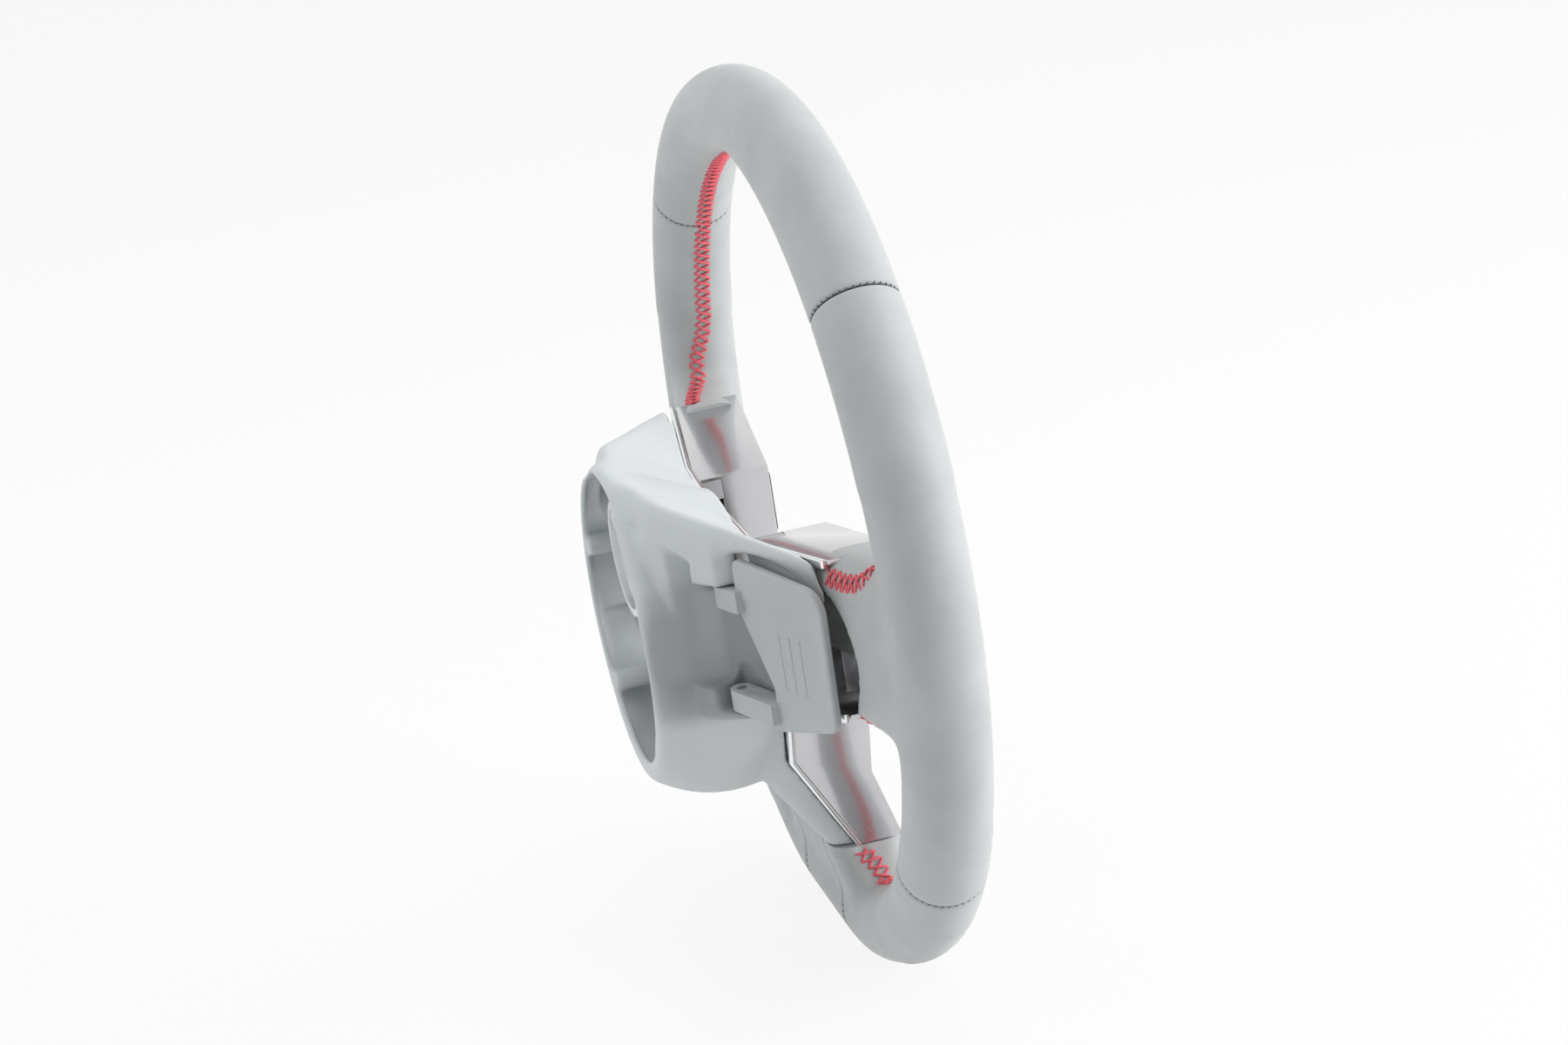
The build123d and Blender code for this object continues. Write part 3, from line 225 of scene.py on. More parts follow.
class WheelSizes(bpy.types.PropertyGroup):
    """Sizes of the leather, the lacing and the softened mouldings."""

    seam_half: length("Bottom seam", "Distance of the bottom seams from the middle", 0.028)
    upper_seam: angle("Upper seam", "Angle of the upper seams above the spokes", 42.6)
    lower_seam: angle("Lower seam", "Angle of the lower seams below the spokes", 37.5)
    seam_gap: length("Seam gap", "Open width between two leather edges", 0.0006)
    roll_width: length("Rolled edge", "Width over which a leather edge turns in", 0.0019)
    roll_depth: length("Edge depth", "How deep a leather edge turns in", 0.0013)
    leather: length("Leather thickness", "Leather over the foam", 0.0014)
    skin_voxel: length("Skin grid", "Grid of the leather skin", 0.00125)
    stub_top: length("Stub top", "Top of the side stubs", 0.023)
    stub_bottom: length("Stub bottom", "Bottom of the side stubs", -0.041)
    stub_front: length("Stub front", "Front of the side stubs from the rim's plane", -0.005)
    stub_rear: length("Stub rear", "Rear of the side stubs from the rim's plane", 0.026)
    stub_corner: length("Stub corner", "Rounding of the stubs", 0.011)
    flare: length("Flare", "Growth of a stub into the rim", 0.015)
    notch_radius: length("Notch radius", "Radius of the notch beside a paddle", 0.026)
    notch_x: length("Notch distance", "From the wheel's middle to the notch's middle", 0.112)
    notch_z: length("Notch height", "Height of the notch's middle", -0.015)
    notch_floor: length("Notch floor", "Floor of the notch from the rim's plane", 0.015)
    lower_half: length("Lower stub half", "Half width of the lower stub", 0.047)
    lower_front: length("Lower stub front", "Front of the lower stub from the rim's plane", -0.009)
    lower_rear: length("Lower stub rear", "Rear of the lower stub from the rim's plane", 0.0205)
    lower_corner: length("Lower stub corner", "Rounding of the lower stub", 0.009)
    lace_pitch: length("Lace pitch", "Distance between two crosses of the lacing", 0.0043)
    lace_half: length("Lace half width", "Half the width of the lacing", 0.0037)
    thread: length("Thread radius", "Radius of the lacing thread", 0.00052)
    seam_pitch: length("Seam stitch pitch", "Distance between stitches across a seam", 0.0027)
    seam_thread: length("Seam thread radius", "Radius of the thread across a seam", 0.00026)
    cover_voxel: length("Cover grid", "Grid of the softened rear cover", 0.00095)
    cover_rounds: count("Cover rounds", "Smoothing of the rear cover", 6)
    ridge_reach: length("Ridge reach", "Width over which the rear cover's ridge is rounded", 0.013)
    ridge_rounds: count("Ridge rounds", "Smoothing of the ridge", 110)
    ridge_lift: length("Ridge lift", "Swell of the ridge before it is rounded", 0.0022)
    paddle_edge: length("Paddle edge", "Rounding of the paddles' edges", 0.00045)
    bezel_edge: length("Bezel edge", "Rounding of the front bezel's edges", 0.0007)
    strip_edge: length("Strip edge", "Rounding of the bright strips' edges", 0.0004)
    housing_edge: length("Housing edge", "Rounding of the switch housings' edges", 0.0006)
    key_edge: length("Key edge", "Rounding of the rockers' and keys' edges", 0.0005)
    casting_edge: length("Casting edge", "Rounding of the armature's edges", 0.0008)


class WheelColours(bpy.types.PropertyGroup):
    """Base colours of the wheel's materials."""

    leather: colour("Leather", "Grip leather", (0.45, 0.468, 0.471))
    lacing: colour("Lacing", "Cross-stitched lacing", (0.80, 0.128, 0.16))
    seam: colour("Seam thread", "Stitches across the seams", (0.095, 0.102, 0.106))
    foam: colour("Foam", "Rim foam below the leather", (0.035, 0.036, 0.038))
    cover: colour("Cover", "Rear cover", (0.605, 0.636, 0.643))
    paddle: colour("Paddle", "Shift paddles", (0.468, 0.494, 0.499))
    bezel: colour("Bezel", "Silver front bezel", (0.56, 0.56, 0.575))
    bright: colour("Bright trim", "Plated strips", (0.86, 0.87, 0.88))
    casting: colour("Casting", "Cast armature", (0.66, 0.67, 0.68))
    steel: colour("Steel", "Insert, pins, screws and springs", (0.56, 0.57, 0.58))
    housing: colour("Housing", "Switch housings", (0.055, 0.056, 0.06))
    key: colour("Key", "Rockers and keys", (0.085, 0.086, 0.09))
    board: colour("Board", "Circuit boards", (0.03, 0.14, 0.06))
    cable: colour("Cable", "Harness", (0.022, 0.022, 0.024))
    plug: colour("Plug", "Harness plug", (0.70, 0.48, 0.05))


class WheelStage(bpy.types.PropertyGroup):
    """Camera, floor and light."""

    target: FloatVectorProperty(
        name="Target",
        description="Point in the middle of the picture",
        default=(0.0018, -0.0665, -0.0007),
        subtype="TRANSLATION",
        size=3,
    )
    azimuth: angle("Azimuth", "Camera's place round the wheel", 257.349)
    elevation: angle("Elevation", "Camera's height above the horizon", 18.241)
    roll: angle("Roll", "Turn of the picture", -8.82)
    distance: length("Distance", "From camera to target", 1.175945)
    lens: FloatProperty(name="Lens", description="Focal length in millimetres", default=65.973)
    ambient: strength("Ambient", "World light on the object", 0.67)
    shaded: strength("Shaded side", "World light from the wheel's left", 0.19)
    key: strength("Key lamp", "Power of the lamp on the driver's side", 43.0)
    rear: strength("Rear lamp", "Power of the lamp behind the wheel", 8.0)
    top: strength("Top lamp", "Power of the lamp above the wheel", 12.5)


def sizes():
    """The wheel's sizes."""
    return bpy.context.scene.wheel_sizes


def colours():
    """The wheel's colours."""
    return bpy.context.scene.wheel_colours


def new_node(tree, kind, **values):
    """A shader node with some of its sockets set."""
    node = tree.nodes.new("ShaderNode" + kind)
    for socket, value in values.items():
        node.inputs[socket.replace("_", " ")].default_value = value
    return node


def math_node(tree, operation, *values):
    """Output of a math node that is fed by sockets and numbers."""
    node = new_node(tree, "Math")
    node.operation = operation
    for socket, value in zip(node.inputs, values):
        if isinstance(value, bpy.types.NodeSocket):
            tree.links.new(value, socket)
        else:
            socket.default_value = value
    return node.outputs["Value"]


def range_node(tree, value, low, high, to_low, to_high):
    """Output of a node that maps a value from one range to another."""
    node = new_node(tree, "MapRange", From_Min=low, From_Max=high, To_Min=to_low, To_Max=to_high)
    tree.links.new(value, node.inputs["Value"])
    return node.outputs["Result"]


class Finish:
    """A node material in the making: a shader with object coordinates and what drives it."""

    def __init__(self, name, base, roughness, **sockets):
        self.material = bpy.data.materials.new(name)
        self.material.use_nodes = True
        self.tree = self.material.node_tree
        self.shader = self.tree.nodes["Principled BSDF"]
        self.base = tuple(base) + (1.0,)
        self.shader.inputs["Base Color"].default_value = self.base
        self.shader.inputs["Roughness"].default_value = roughness
        for socket, value in sockets.items():
            self.shader.inputs[socket.replace("_", " ")].default_value = value
        self.place = new_node(self.tree, "TexCoord").outputs["Object"]
        self.height = None

    def link(self, source, target):
        """Joins two sockets."""
        self.tree.links.new(source, target)

    def noise(self, scale, detail=3.0, stretch=None):
        """Noise of a scale in cells per metre, drawn out along an axis where asked."""
        node = new_node(self.tree, "TexNoise", Scale=scale, Detail=detail)
        place = self.place
        if stretch:
            mapping = new_node(self.tree, "Mapping", Scale=stretch)
            self.link(place, mapping.inputs["Vector"])
            place = mapping.outputs["Vector"]
        self.link(place, node.inputs["Vector"])
        return node.outputs["Fac"]

    def cells(self, scale, feature="DISTANCE_TO_EDGE"):
        """Leather-like cells of a scale in cells per metre."""
        node = new_node(self.tree, "TexVoronoi", Scale=scale)
        node.feature = feature
        self.link(self.place, node.inputs["Vector"])
        return node.outputs["Distance"]

    def remap(self, value, low, high, to_low, to_high):
        """A value mapped from one range to another."""
        return range_node(self.tree, value, low, high, to_low, to_high)

    def tint(self, value, dark, light, low=NOISE_LOW, high=NOISE_HIGH):
        """Base colour that varies from darker to lighter with a value."""
        ramp = new_node(self.tree, "ValToRGB")
        ends = ramp.color_ramp.elements
        ends[0].position = low
        ends[1].position = high
        ends[0].color = tuple(part * dark for part in self.base[:3]) + (1.0,)
        ends[1].color = tuple(min(part * light, 1.0) for part in self.base[:3]) + (1.0,)
        self.link(value, ramp.inputs["Fac"])
        self.link(ramp.outputs["Color"], self.shader.inputs["Base Color"])

    def gloss(self, value, low, high):
        """Roughness that varies with a value."""
        rough = self.remap(value, NOISE_LOW, NOISE_HIGH, low, high)
        self.link(rough, self.shader.inputs["Roughness"])

    def bump(self, value, depth, strength=1.0):
        """Relief of a depth in metres, laid over any relief before it."""
        node = new_node(self.tree, "Bump", Distance=depth, Strength=strength)
        self.link(value, node.inputs["Height"])
        if self.height:
            self.link(self.height, node.inputs["Normal"])
        self.height = node.outputs["Normal"]
        self.link(self.height, self.shader.inputs["Normal"])


def leather_finish(name, base):
    """Fine-grained leather with faint clouding and a soft sheen."""
    sheen = {"Sheen_Weight": 0.22, "Sheen_Roughness": 0.45}
    finish = Finish(name, base, 0.48, Specular_IOR_Level=0.5, **sheen)
    finish.tint(finish.noise(38.0, 4.0), 0.93, 1.06)
    finish.gloss(finish.noise(260.0), 0.44, 0.56)
    finish.bump(finish.remap(finish.cells(950.0), 0.0, 0.28, 0.0, 1.0), 0.00005, 0.42)
    finish.bump(finish.noise(2600.0, 2.0), 0.00003, 0.3)
    return finish.material


def moulded_finish(name, base, roughness, grain, depth):
    """Moulded plastic with a spark-eroded grain."""
    finish = Finish(name, base, roughness, Specular_IOR_Level=0.42)
    finish.tint(finish.noise(24.0, 2.0), 0.965, 1.03)
    finish.gloss(finish.noise(grain / 6, 2.0), roughness - 0.05, roughness + 0.05)
    finish.bump(finish.noise(grain, 3.0), depth, 0.45)
    return finish.material


def cover_finish(name, base):
    """Moulded cover plastic whose finger pockets are painted darker, as the shade in these
    recesses.
    """
    finish = Finish(name, base, 0.5, Specular_IOR_Level=0.45)
    # Painted shade: a mask over the finger pockets darkens the cover's colour there, standing for
    # the shade in these recesses.
    split = new_node(finish.tree, "SeparateXYZ")
    finish.link(finish.place, split.inputs["Vector"])
    out = math_node(finish.tree, "ABSOLUTE", split.outputs["X"])
    inside = finish.remap(out, *POCKET_SIDE, 0.0, 1.0)
    for bounds, first, last in ((POCKET_TOP, 1.0, 0.0), (POCKET_FOOT, 0.0, 1.0)):
        within = finish.remap(split.outputs["Z"], *bounds, first, last)
        inside = math_node(finish.tree, "MULTIPLY", inside, within)
    cloud = finish.remap(finish.noise(24.0, 2.0), NOISE_LOW, NOISE_HIGH, 0.92, 1.0)
    # Random clouding of the tone, with the painted shade of the pockets taken off it.
    tone_and_painted_shade = math_node(finish.tree, "MULTIPLY_ADD", inside, POCKET_PAINTED_SHADE, cloud)
    finish.tint(tone_and_painted_shade, 0.5, 1.02, 0.15, 1.0)
    finish.gloss(finish.noise(300.0, 2.0), 0.45, 0.55)
    finish.bump(finish.noise(1900.0, 3.0), 0.00005, 0.45)
    return finish.material


def lacquer_finish(name, base):
    """Silver lacquer under a clear coat, with the slight waviness of a moulding."""
    finish = Finish(name, base, 0.2, Metallic=0.85, Coat_Weight=1.0, Coat_Roughness=0.05)
    finish.tint(finish.noise(30.0, 2.0), 0.94, 1.05)
    finish.gloss(finish.noise(400.0, 3.0), 0.17, 0.24)
    finish.bump(finish.noise(26.0, 1.0), 0.0002, 0.15)
    return finish.material


def plated_finish(name, base):
    """Bright plating with faint cloudiness."""
    finish = Finish(name, base, 0.1, Metallic=1.0)
    finish.tint(finish.noise(90.0, 2.0), 0.95, 1.02)
    finish.gloss(finish.noise(500.0, 3.0), 0.07, 0.14)
    return finish.material


def cast_finish(name, base):
    """As-cast light metal: flow marks, a granular skin and dull patches."""
    finish = Finish(name, base, 0.42, Metallic=0.85)
    finish.tint(finish.noise(42.0, 6.0), 0.78, 1.1)
    finish.gloss(finish.noise(120.0, 5.0), 0.34, 0.55)
    finish.bump(finish.noise(1400.0, 4.0), 0.00012, 0.5)
    finish.bump(finish.noise(60.0, 3.0), 0.0004, 0.2)
    return finish.material


def turned_finish(name, base):
    """Turned or drawn steel with fine lines along one way."""
    finish = Finish(name, base, 0.3, Metallic=1.0)
    finish.tint(finish.noise(160.0, 4.0), 0.88, 1.05)
    lines = finish.noise(300.0, 3.0, (1.0, 14.0, 1.0))
    finish.gloss(lines, 0.22, 0.38)
    finish.bump(lines, 0.00004, 0.4)
    return finish.material


def foam_finish(name, base):
    """Moulded foam with small open cells."""
    finish = Finish(name, base, 0.85, Specular_IOR_Level=0.25)
    finish.tint(finish.noise(60.0, 4.0), 0.85, 1.15)
    finish.bump(finish.cells(1500.0, "F1"), 0.0002, 0.6)
    return finish.material


def thread_finish(name, base):
    """Twisted thread: fine bright and dark strands."""
    finish = Finish(name, base, 0.6, Sheen_Weight=0.25, Sheen_Roughness=0.4)
    strands = finish.noise(2300.0, 2.0)
    finish.tint(strands, 0.72, 1.22, 0.35, 0.65)
    finish.bump(strands, 0.0001, 0.6)
    return finish.material


def board_finish(name, base):
    """Circuit board: lacquer over copper tracks."""
    finish = Finish(name, base, 0.35, Coat_Weight=0.3)
    tracks = finish.noise(260.0, 0.0, (1.0, 1.0, 3.5))
    finish.tint(tracks, 0.7, 1.6, 0.46, 0.54)
    finish.bump(tracks, 0.00004, 0.5)
    return finish.material


def cable_finish(name, base):
    """Harness sleeve with the fine weave of cloth tape."""
    finish = Finish(name, base, 0.7)
    weave = finish.noise(1300.0, 1.0, (0.35, 1.0, 1.0))
    finish.tint(weave, 0.6, 1.9, 0.4, 0.62)
    finish.bump(weave, 0.0002, 0.6)
    return finish.material


def paint(material, *nodes):
    """Gives CAD nodes a material."""
    for node in nodes:
        mesh = NODES[node].data
        mesh.materials.clear()
        mesh.materials.append(material)


def in_rim_frame(x, y, z):
    """A point in metres whose y is measured back from the rim's centre plane."""
    return Vector((x, RIM_Y + y, z))


def add_piece(bm, name, material, body, replaced=()):
    """Makes a piece of the object from a bmesh, which it frees, sets it on its body and hides the
    CAD nodes it replaces.
    """
    mesh = bpy.data.meshes.new(name)
    for face in bm.faces:
        face.smooth = True
    bm.to_mesh(mesh)
    bm.free()
    return add_mesh(mesh, name, material, body, replaced)


def add_mesh(mesh, name, material, body, replaced=()):
    """Makes a piece of the object from a mesh, sets it on its body and hides the CAD nodes it
    replaces.
    """
    mesh.materials.clear()
    mesh.materials.append(material)
    piece = bpy.data.objects.new(name, mesh)
    bpy.context.scene.collection.objects.link(piece)
    if body:
        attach(piece, body)
    if replaced:
        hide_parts(*replaced)
    return piece


def passing_object(bm):
    """An object for a bmesh, which it frees; it goes when its mesh is removed."""
    mesh = bpy.data.meshes.new("passing")
    bm.to_mesh(mesh)
    bm.free()
    passing = bpy.data.objects.new("passing", mesh)
    bpy.context.scene.collection.objects.link(passing)
    return passing


def modified(bm, kind, **values):
    """The bmesh after one modifier; the one given is freed."""
    blank = passing_object(bm)
    modifier = blank.modifiers.new(kind.title(), kind)
    for key, value in values.items():
        setattr(modifier, key, value)
    depsgraph = bpy.context.evaluated_depsgraph_get()
    shaped = bpy.data.meshes.new_from_object(blank.evaluated_get(depsgraph))
    result = bmesh.new()
    result.from_mesh(shaped)
    bpy.data.meshes.remove(blank.data)
    bpy.data.meshes.remove(shaped)
    return result


def node_copy(*nodes):
    """Merged copy of CAD nodes."""
    bm = bmesh.new()
    for node in nodes:
        bm.from_mesh(NODES[node].data)
    bmesh.ops.remove_doubles(bm, verts=bm.verts[:], dist=2e-6)
    return bm


def smooth(bm, verts, rounds):
    """Relaxes some vertices a number of times."""
    axes = {"use_axis_x": True, "use_axis_y": True, "use_axis_z": True}
    for _ in range(rounds):
        bmesh.ops.smooth_vert(bm, verts=verts, factor=0.5, **axes)


def softened(bm, voxel, rounds, fixed=None, reach=0.0):
    """A closed bmesh rebuilt on a grid and relaxed, except within reach of a fixed tree."""
    soft = modified(bm, "REMESH", mode="VOXEL", voxel_size=voxel)
    free = soft.verts[:]
    if fixed:
        free = [vert for vert in free if fixed.find_nearest(vert.co, reach)[0] is None]
    smooth(soft, soft.verts[:], 2)
    smooth(soft, free, rounds)
    return soft


def bevel(bm, parts, width, segments, affect):
    """Rounds edges or corners."""
    return bmesh.ops.bevel(
        bm,
        geom=parts,
        offset=width,
        offset_type="OFFSET",
        segments=segments,
        profile=0.5,
        affect=affect,
        clamp_overlap=True,
        material=-1,
    )


def bevelled_copy(node, width, sharp=0.5):
    """Copy of a CAD node with its flat faces joined and its edges past a sharp angle rounded."""
    bm = node_copy(node)
    bmesh.ops.dissolve_limit(bm, angle_limit=radians(1.0), verts=bm.verts[:], edges=bm.edges[:])
    edges = [edge for edge in bm.edges if edge.is_manifold and edge.calc_face_angle(0.0) > sharp]
    bevel(bm, edges, width, 2, "EDGES")
    bmesh.ops.triangulate(bm, faces=[face for face in bm.faces if len(face.verts) > 4])
    return bm


def bevelled_piece(node, width, name, material, body="wheel"):
    """A piece that stands for a CAD node, with its edges rounded."""
    return add_piece(bevelled_copy(node, width), name, material, body, (node,))


def slice_at(bm, point, normal):
    """Cuts edges across a whole bmesh at a plane."""
    parts = bm.verts[:] + bm.edges[:] + bm.faces[:]
    bmesh.ops.bisect_plane(bm, geom=parts, plane_co=point, plane_no=normal, dist=1e-6)


def only(parts, kind):
    """The verts, edges or faces among some parts of a bmesh."""
    return [part for part in parts if isinstance(part, kind)]


def rim_tube(bm, radius):
    """The rim: a circle swept round the main arc, two corner arcs and the flat bottom."""
    half = sizes().seam_half
    corner = (RIM**2 - FLAT**2 - half**2) / (2 * (RIM - FLAT))
    drop = FLAT - corner
    start = atan2(-drop, half)
    turn = pi / 2 + start
    radial = Vector((cos(start), 0.0, sin(start)))
    axes = Matrix((radial, BACK, radial.cross(BACK))).transposed().to_4x4()
    place = Matrix.Translation(in_rim_frame(0, 0, 0) + radial * RIM) @ axes
    ring = bmesh.ops.create_circle(bm, segments=RIM_SEGMENTS, radius=radius, matrix=place)
    edges = list({edge for vert in ring["verts"] for edge in vert.link_edges})
    steps = (
        (in_rim_frame(0, 0, 0), pi - 2 * start, ARC_STEPS),
        (in_rim_frame(-half, 0, -drop), turn, CORNER_STEPS),
        (None, 2 * half, CORNER_STEPS),
        (in_rim_frame(half, 0, -drop), turn, CORNER_STEPS),
    )
    for centre, sweep, number in steps:
        if centre is None:
            for _ in range(number):
                made = bmesh.ops.extrude_edge_only(bm, edges=edges)["geom"]
                verts = only(made, bmesh.types.BMVert)
                bmesh.ops.translate(bm, verts=verts, vec=(sweep / number, 0.0, 0.0))
                edges = only(made, bmesh.types.BMEdge)
                edges = [edge for edge in edges if set(edge.verts) <= set(verts)]
        else:
            made = bmesh.ops.spin(
                bm, geom=edges, cent=centre, axis=-BACK, angle=sweep, steps=number, use_merge=False
            )["geom_last"]
            edges = only(made, bmesh.types.BMEdge)


def stub(bm, along, side, corner, sections):
    """A spoke's leather end: rounded rectangles (distance, level, middle, depth, width)."""
    verts = bmesh.ops.create_grid(bm, x_segments=1, y_segments=1, size=0.5)["verts"]
    bmesh.ops.scale(bm, verts=verts, vec=(sections[0][4], sections[0][3], 1.0))
    rounded = bevel(bm, verts, corner, 8, "VERTICES")
    verts = list({vert for face in rounded["faces"] for vert in face.verts} | set(rounded["verts"]))
    face = verts[0].link_faces[0]
    made = list(face.verts)
    for index, (distance, level, middle, depth, width) in enumerate(sections):
        if index:
            before = sections[index - 1]
            grown = bmesh.ops.extrude_face_region(bm, geom=[face])["geom"]
            face = only(grown, bmesh.types.BMFace)[0]
            shift = Matrix.Translation((-before[2], -before[1], -before[0]))
            bmesh.ops.transform(bm, verts=list(face.verts), matrix=shift)
            growth = (width / before[4], depth / before[3], 1.0)
            bmesh.ops.scale(bm, verts=list(face.verts), vec=growth)
            made += list(face.verts)
        bmesh.ops.translate(bm, verts=list(face.verts), vec=(middle, level, distance))
    out = Vector((side, 0.0, 0.0)) if along == "x" else Vector((0.0, 0.0, -1.0))
    over = Vector((0.0, 0.0, 1.0)) if along == "x" else Vector((1.0, 0.0, 0.0))
    axes = Matrix((over, BACK, out)).transposed().to_4x4()
    bmesh.ops.transform(bm, verts=made, matrix=Matrix.Translation(in_rim_frame(0, 0, 0)) @ axes)


def grip_form(inset):
    """Rim and stubs as one relaxed closed skin, drawn in from the leather's outside."""
    size = sizes()
    swell = SKIN_SWELL - inset
    spare = -FOAM_SETBACK if inset else SKIN_SPARE
    bm = bmesh.new()
    rim_tube(bm, GRIP + swell)
    middle = (size.stub_top + size.stub_bottom) / 2
    height = size.stub_top - size.stub_bottom + 2 * swell
    depth = size.stub_rear - size.stub_front + 2 * swell
    level = (size.stub_rear + size.stub_front) / 2
    root = 2 * GRIP - ROOT_SLACK
    side_sections = (
        (SIDE_STUB_END - spare, level, middle, depth, height),
        (SIDE_STUB_END + STUB_LEAD, level, middle, depth, height),
        (RIM - GRIP - NECK, level * NECK_LEVEL, middle, depth, height + NECK_GROWTH),
        (RIM - GRIP - THROAT, level * THROAT_LEVEL, middle, depth, height + size.flare / 2),
        (RIM - SIDE_ROOT, 0.0, middle, root, height + 2 * size.flare),
    )
    for _, side in SIDES:
        stub(bm, "x", side, size.stub_corner, side_sections)
    width = 2 * (size.lower_half + swell)
    depth = size.lower_rear - size.lower_front + 2 * swell
    level = (size.lower_rear + size.lower_front) / 2
    throat = FLAT - GRIP - LOWER_THROAT
    lower_sections = (
        (LOWER_STUB_END - spare, level, 0.0, depth, width),
        (LOWER_STUB_END + STUB_LEAD, level, 0.0, depth, width),
        (throat, level * LOWER_THROAT_LEVEL, 0.0, depth, width + size.flare / 2),
        (FLAT - LOWER_ROOT, 0.0, 0.0, root, width + 2 * size.flare),
    )
    stub(bm, "z", 1, size.lower_corner, lower_sections)
    bmesh.ops.remove_doubles(bm, verts=bm.verts[:], dist=1e-5)
    bmesh.ops.recalc_face_normals(bm, faces=bm.faces[:])
    skin = softened(bm, size.skin_voxel * (2 if inset else 1), SKIN_ROUNDS)
    creases = [vert for vert in skin.verts if near_crease(vert.co)]
    smooth(skin, creases, FOAM_CREASE_ROUNDS if inset else LEATHER_CREASE_ROUNDS)
    return notched(skin, inset)


def notched(skin, inset):
    """The skin with a round notch cut from each stub beside the paddle; the one given is freed."""
    size = sizes()
    radius = size.notch_radius + inset
    floor = size.notch_floor - inset
    cutter = bmesh.new()
    for _, side in SIDES:
        middle = in_rim_frame(side * size.notch_x, floor + NOTCH_CUT / 2, size.notch_z)
        bmesh.ops.create_cone(
            cutter,
            cap_ends=True,
            segments=96,
            radius1=radius,
            radius2=radius,
            depth=NOTCH_CUT,
            matrix=Matrix.Translation(middle) @ Matrix.Rotation(pi / 2, 4, "X"),
        )
    tool = passing_object(cutter)
    cut = modified(skin, "BOOLEAN", operation="DIFFERENCE", object=tool, solver="EXACT")
    bpy.data.meshes.remove(tool.data)
    rims = []
    for vert in cut.verts:
        away = Vector((abs(vert.co.x) - size.notch_x, vert.co.z - size.notch_z)).length - radius
        if abs(away) < NOTCH_EDGE and vert.co.y - RIM_Y > floor + NOTCH_STEP:
            rims.append(vert)
    smooth(cut, rims, NOTCH_ROUNDS)
    return cut


def near_crease(point):
    """Whether a point lies where a stub runs into the rim."""
    size = sizes()
    beside = size.stub_bottom - SIDE_CREASE_DOWN < point.z < size.stub_top + SIDE_CREASE_UP
    below = abs(point.x) < size.lower_half + LOWER_CREASE_OUT
    side = beside and abs(point.x) > SIDE_STUB_END + SIDE_CREASE
    return side or (below and point.z < -LOWER_STUB_END - LOWER_CREASE)


def clip(bm, point, normal, keep=None):
    """Cuts away what lies behind a plane, among the vertices that keep allows."""
    verts = [vert for vert in bm.verts if keep is None or keep(vert.co)]
    chosen = set(verts)
    edges = [edge for edge in bm.edges if edge.verts[0] in chosen and edge.verts[1] in chosen]
    faces = [face for face in bm.faces if all(vert in chosen for vert in face.verts)]
    bmesh.ops.bisect_plane(
        bm, geom=verts + edges + faces, plane_co=point, plane_no=normal, clear_inner=True, dist=1e-7
    )


def close_ends(skin):
    """Closes the leather's open ends at the spokes with flat faces."""
    open_edges = [edge for edge in skin.edges if edge.is_boundary]
    caps = bmesh.ops.holes_fill(skin, edges=open_edges, sides=0)["faces"]
    bmesh.ops.split_edges(skin, edges=open_edges)
    bmesh.ops.triangulate(skin, faces=caps)


def turn_in(bm, point, normal):
    """Rolls the leather's edge at a seam plane inwards."""
    size = sizes()
    for share in ROLL_CUTS:
        slice_at(bm, point + normal * (size.roll_width * share), normal)
    bm.normal_update()
    moves = []
    for vert in bm.verts:
        gone = 1.0 - (vert.co - point).dot(normal) / size.roll_width
        if gone > 0.0:
            gone = min(gone, 1.0)
            moves.append((vert, vert.normal * (size.roll_depth * (1.0 - sqrt(1.0 - gone * gone)))))
    for vert, move in moves:
        vert.co -= move


def seam_planes():
    """Seam planes of each leather panel as (point, normal into the panel)."""
    size = sizes()
    middle = in_rim_frame(0, 0, 0)
    gap = size.seam_gap / 2

    def ray(bearing, up):
        normal = Vector((-sin(bearing), 0.0, cos(bearing))) * up
        return middle + normal * gap, normal

    def upright(x, way):
        return in_rim_frame(x + way * gap, 0, 0), Vector((way, 0.0, 0.0))

    upper, lower, half = size.upper_seam, size.lower_seam, size.seam_half
    return {
        "top": [ray(upper, 1), ray(pi - upper, -1)],
        "right": [ray(upper, -1), ray(-lower, 1)],
        "left": [ray(pi - upper, 1), ray(pi + lower, -1)],
        "lower_right": [ray(-lower, -1), upright(half, 1)],
        "lower_left": [ray(pi + lower, 1), upright(-half, -1)],
        "bottom": [upright(half, -1), upright(-half, 1)],
    }


def seam_sections():
    """Centre and way along the rim of each seam's section."""
    size = sizes()
    found = []
    for bearing in (size.upper_seam, pi - size.upper_seam, -size.lower_seam, pi + size.lower_seam):
        radial = Vector((cos(bearing), 0.0, sin(bearing)))
        found.append((in_rim_frame(0, 0, 0) + radial * RIM, radial))
    for side in (-1, 1):
        found.append((in_rim_frame(side * size.seam_half, 0, -FLAT), Vector((0.0, 0.0, -1.0))))
    return found


def lace_routes():
    """Rough routes of the lacing, each a row of points: over the top, and below each side spoke."""

    def inner(degrees_up):
        bearing = radians(degrees_up)
        return in_rim_frame((RIM - GRIP) * cos(bearing), 0, (RIM - GRIP) * sin(bearing))

    def laid(points):
        return [in_rim_frame(*point) for point in points]

    top = laid(RIGHT_SHOULDER) + [inner(step) for step in BOW_BEARINGS]
    top += [in_rim_frame(-x, y, z) for x, y, z in reversed(LEFT_SHOULDER)]
    lower = laid(UNDERSIDE) + [inner(-step) for step in LOWER_BEARINGS] + laid(LEG_SIDE)
    return [top, lower, [Vector((-point.x, point.y, point.z)) for point in lower]]


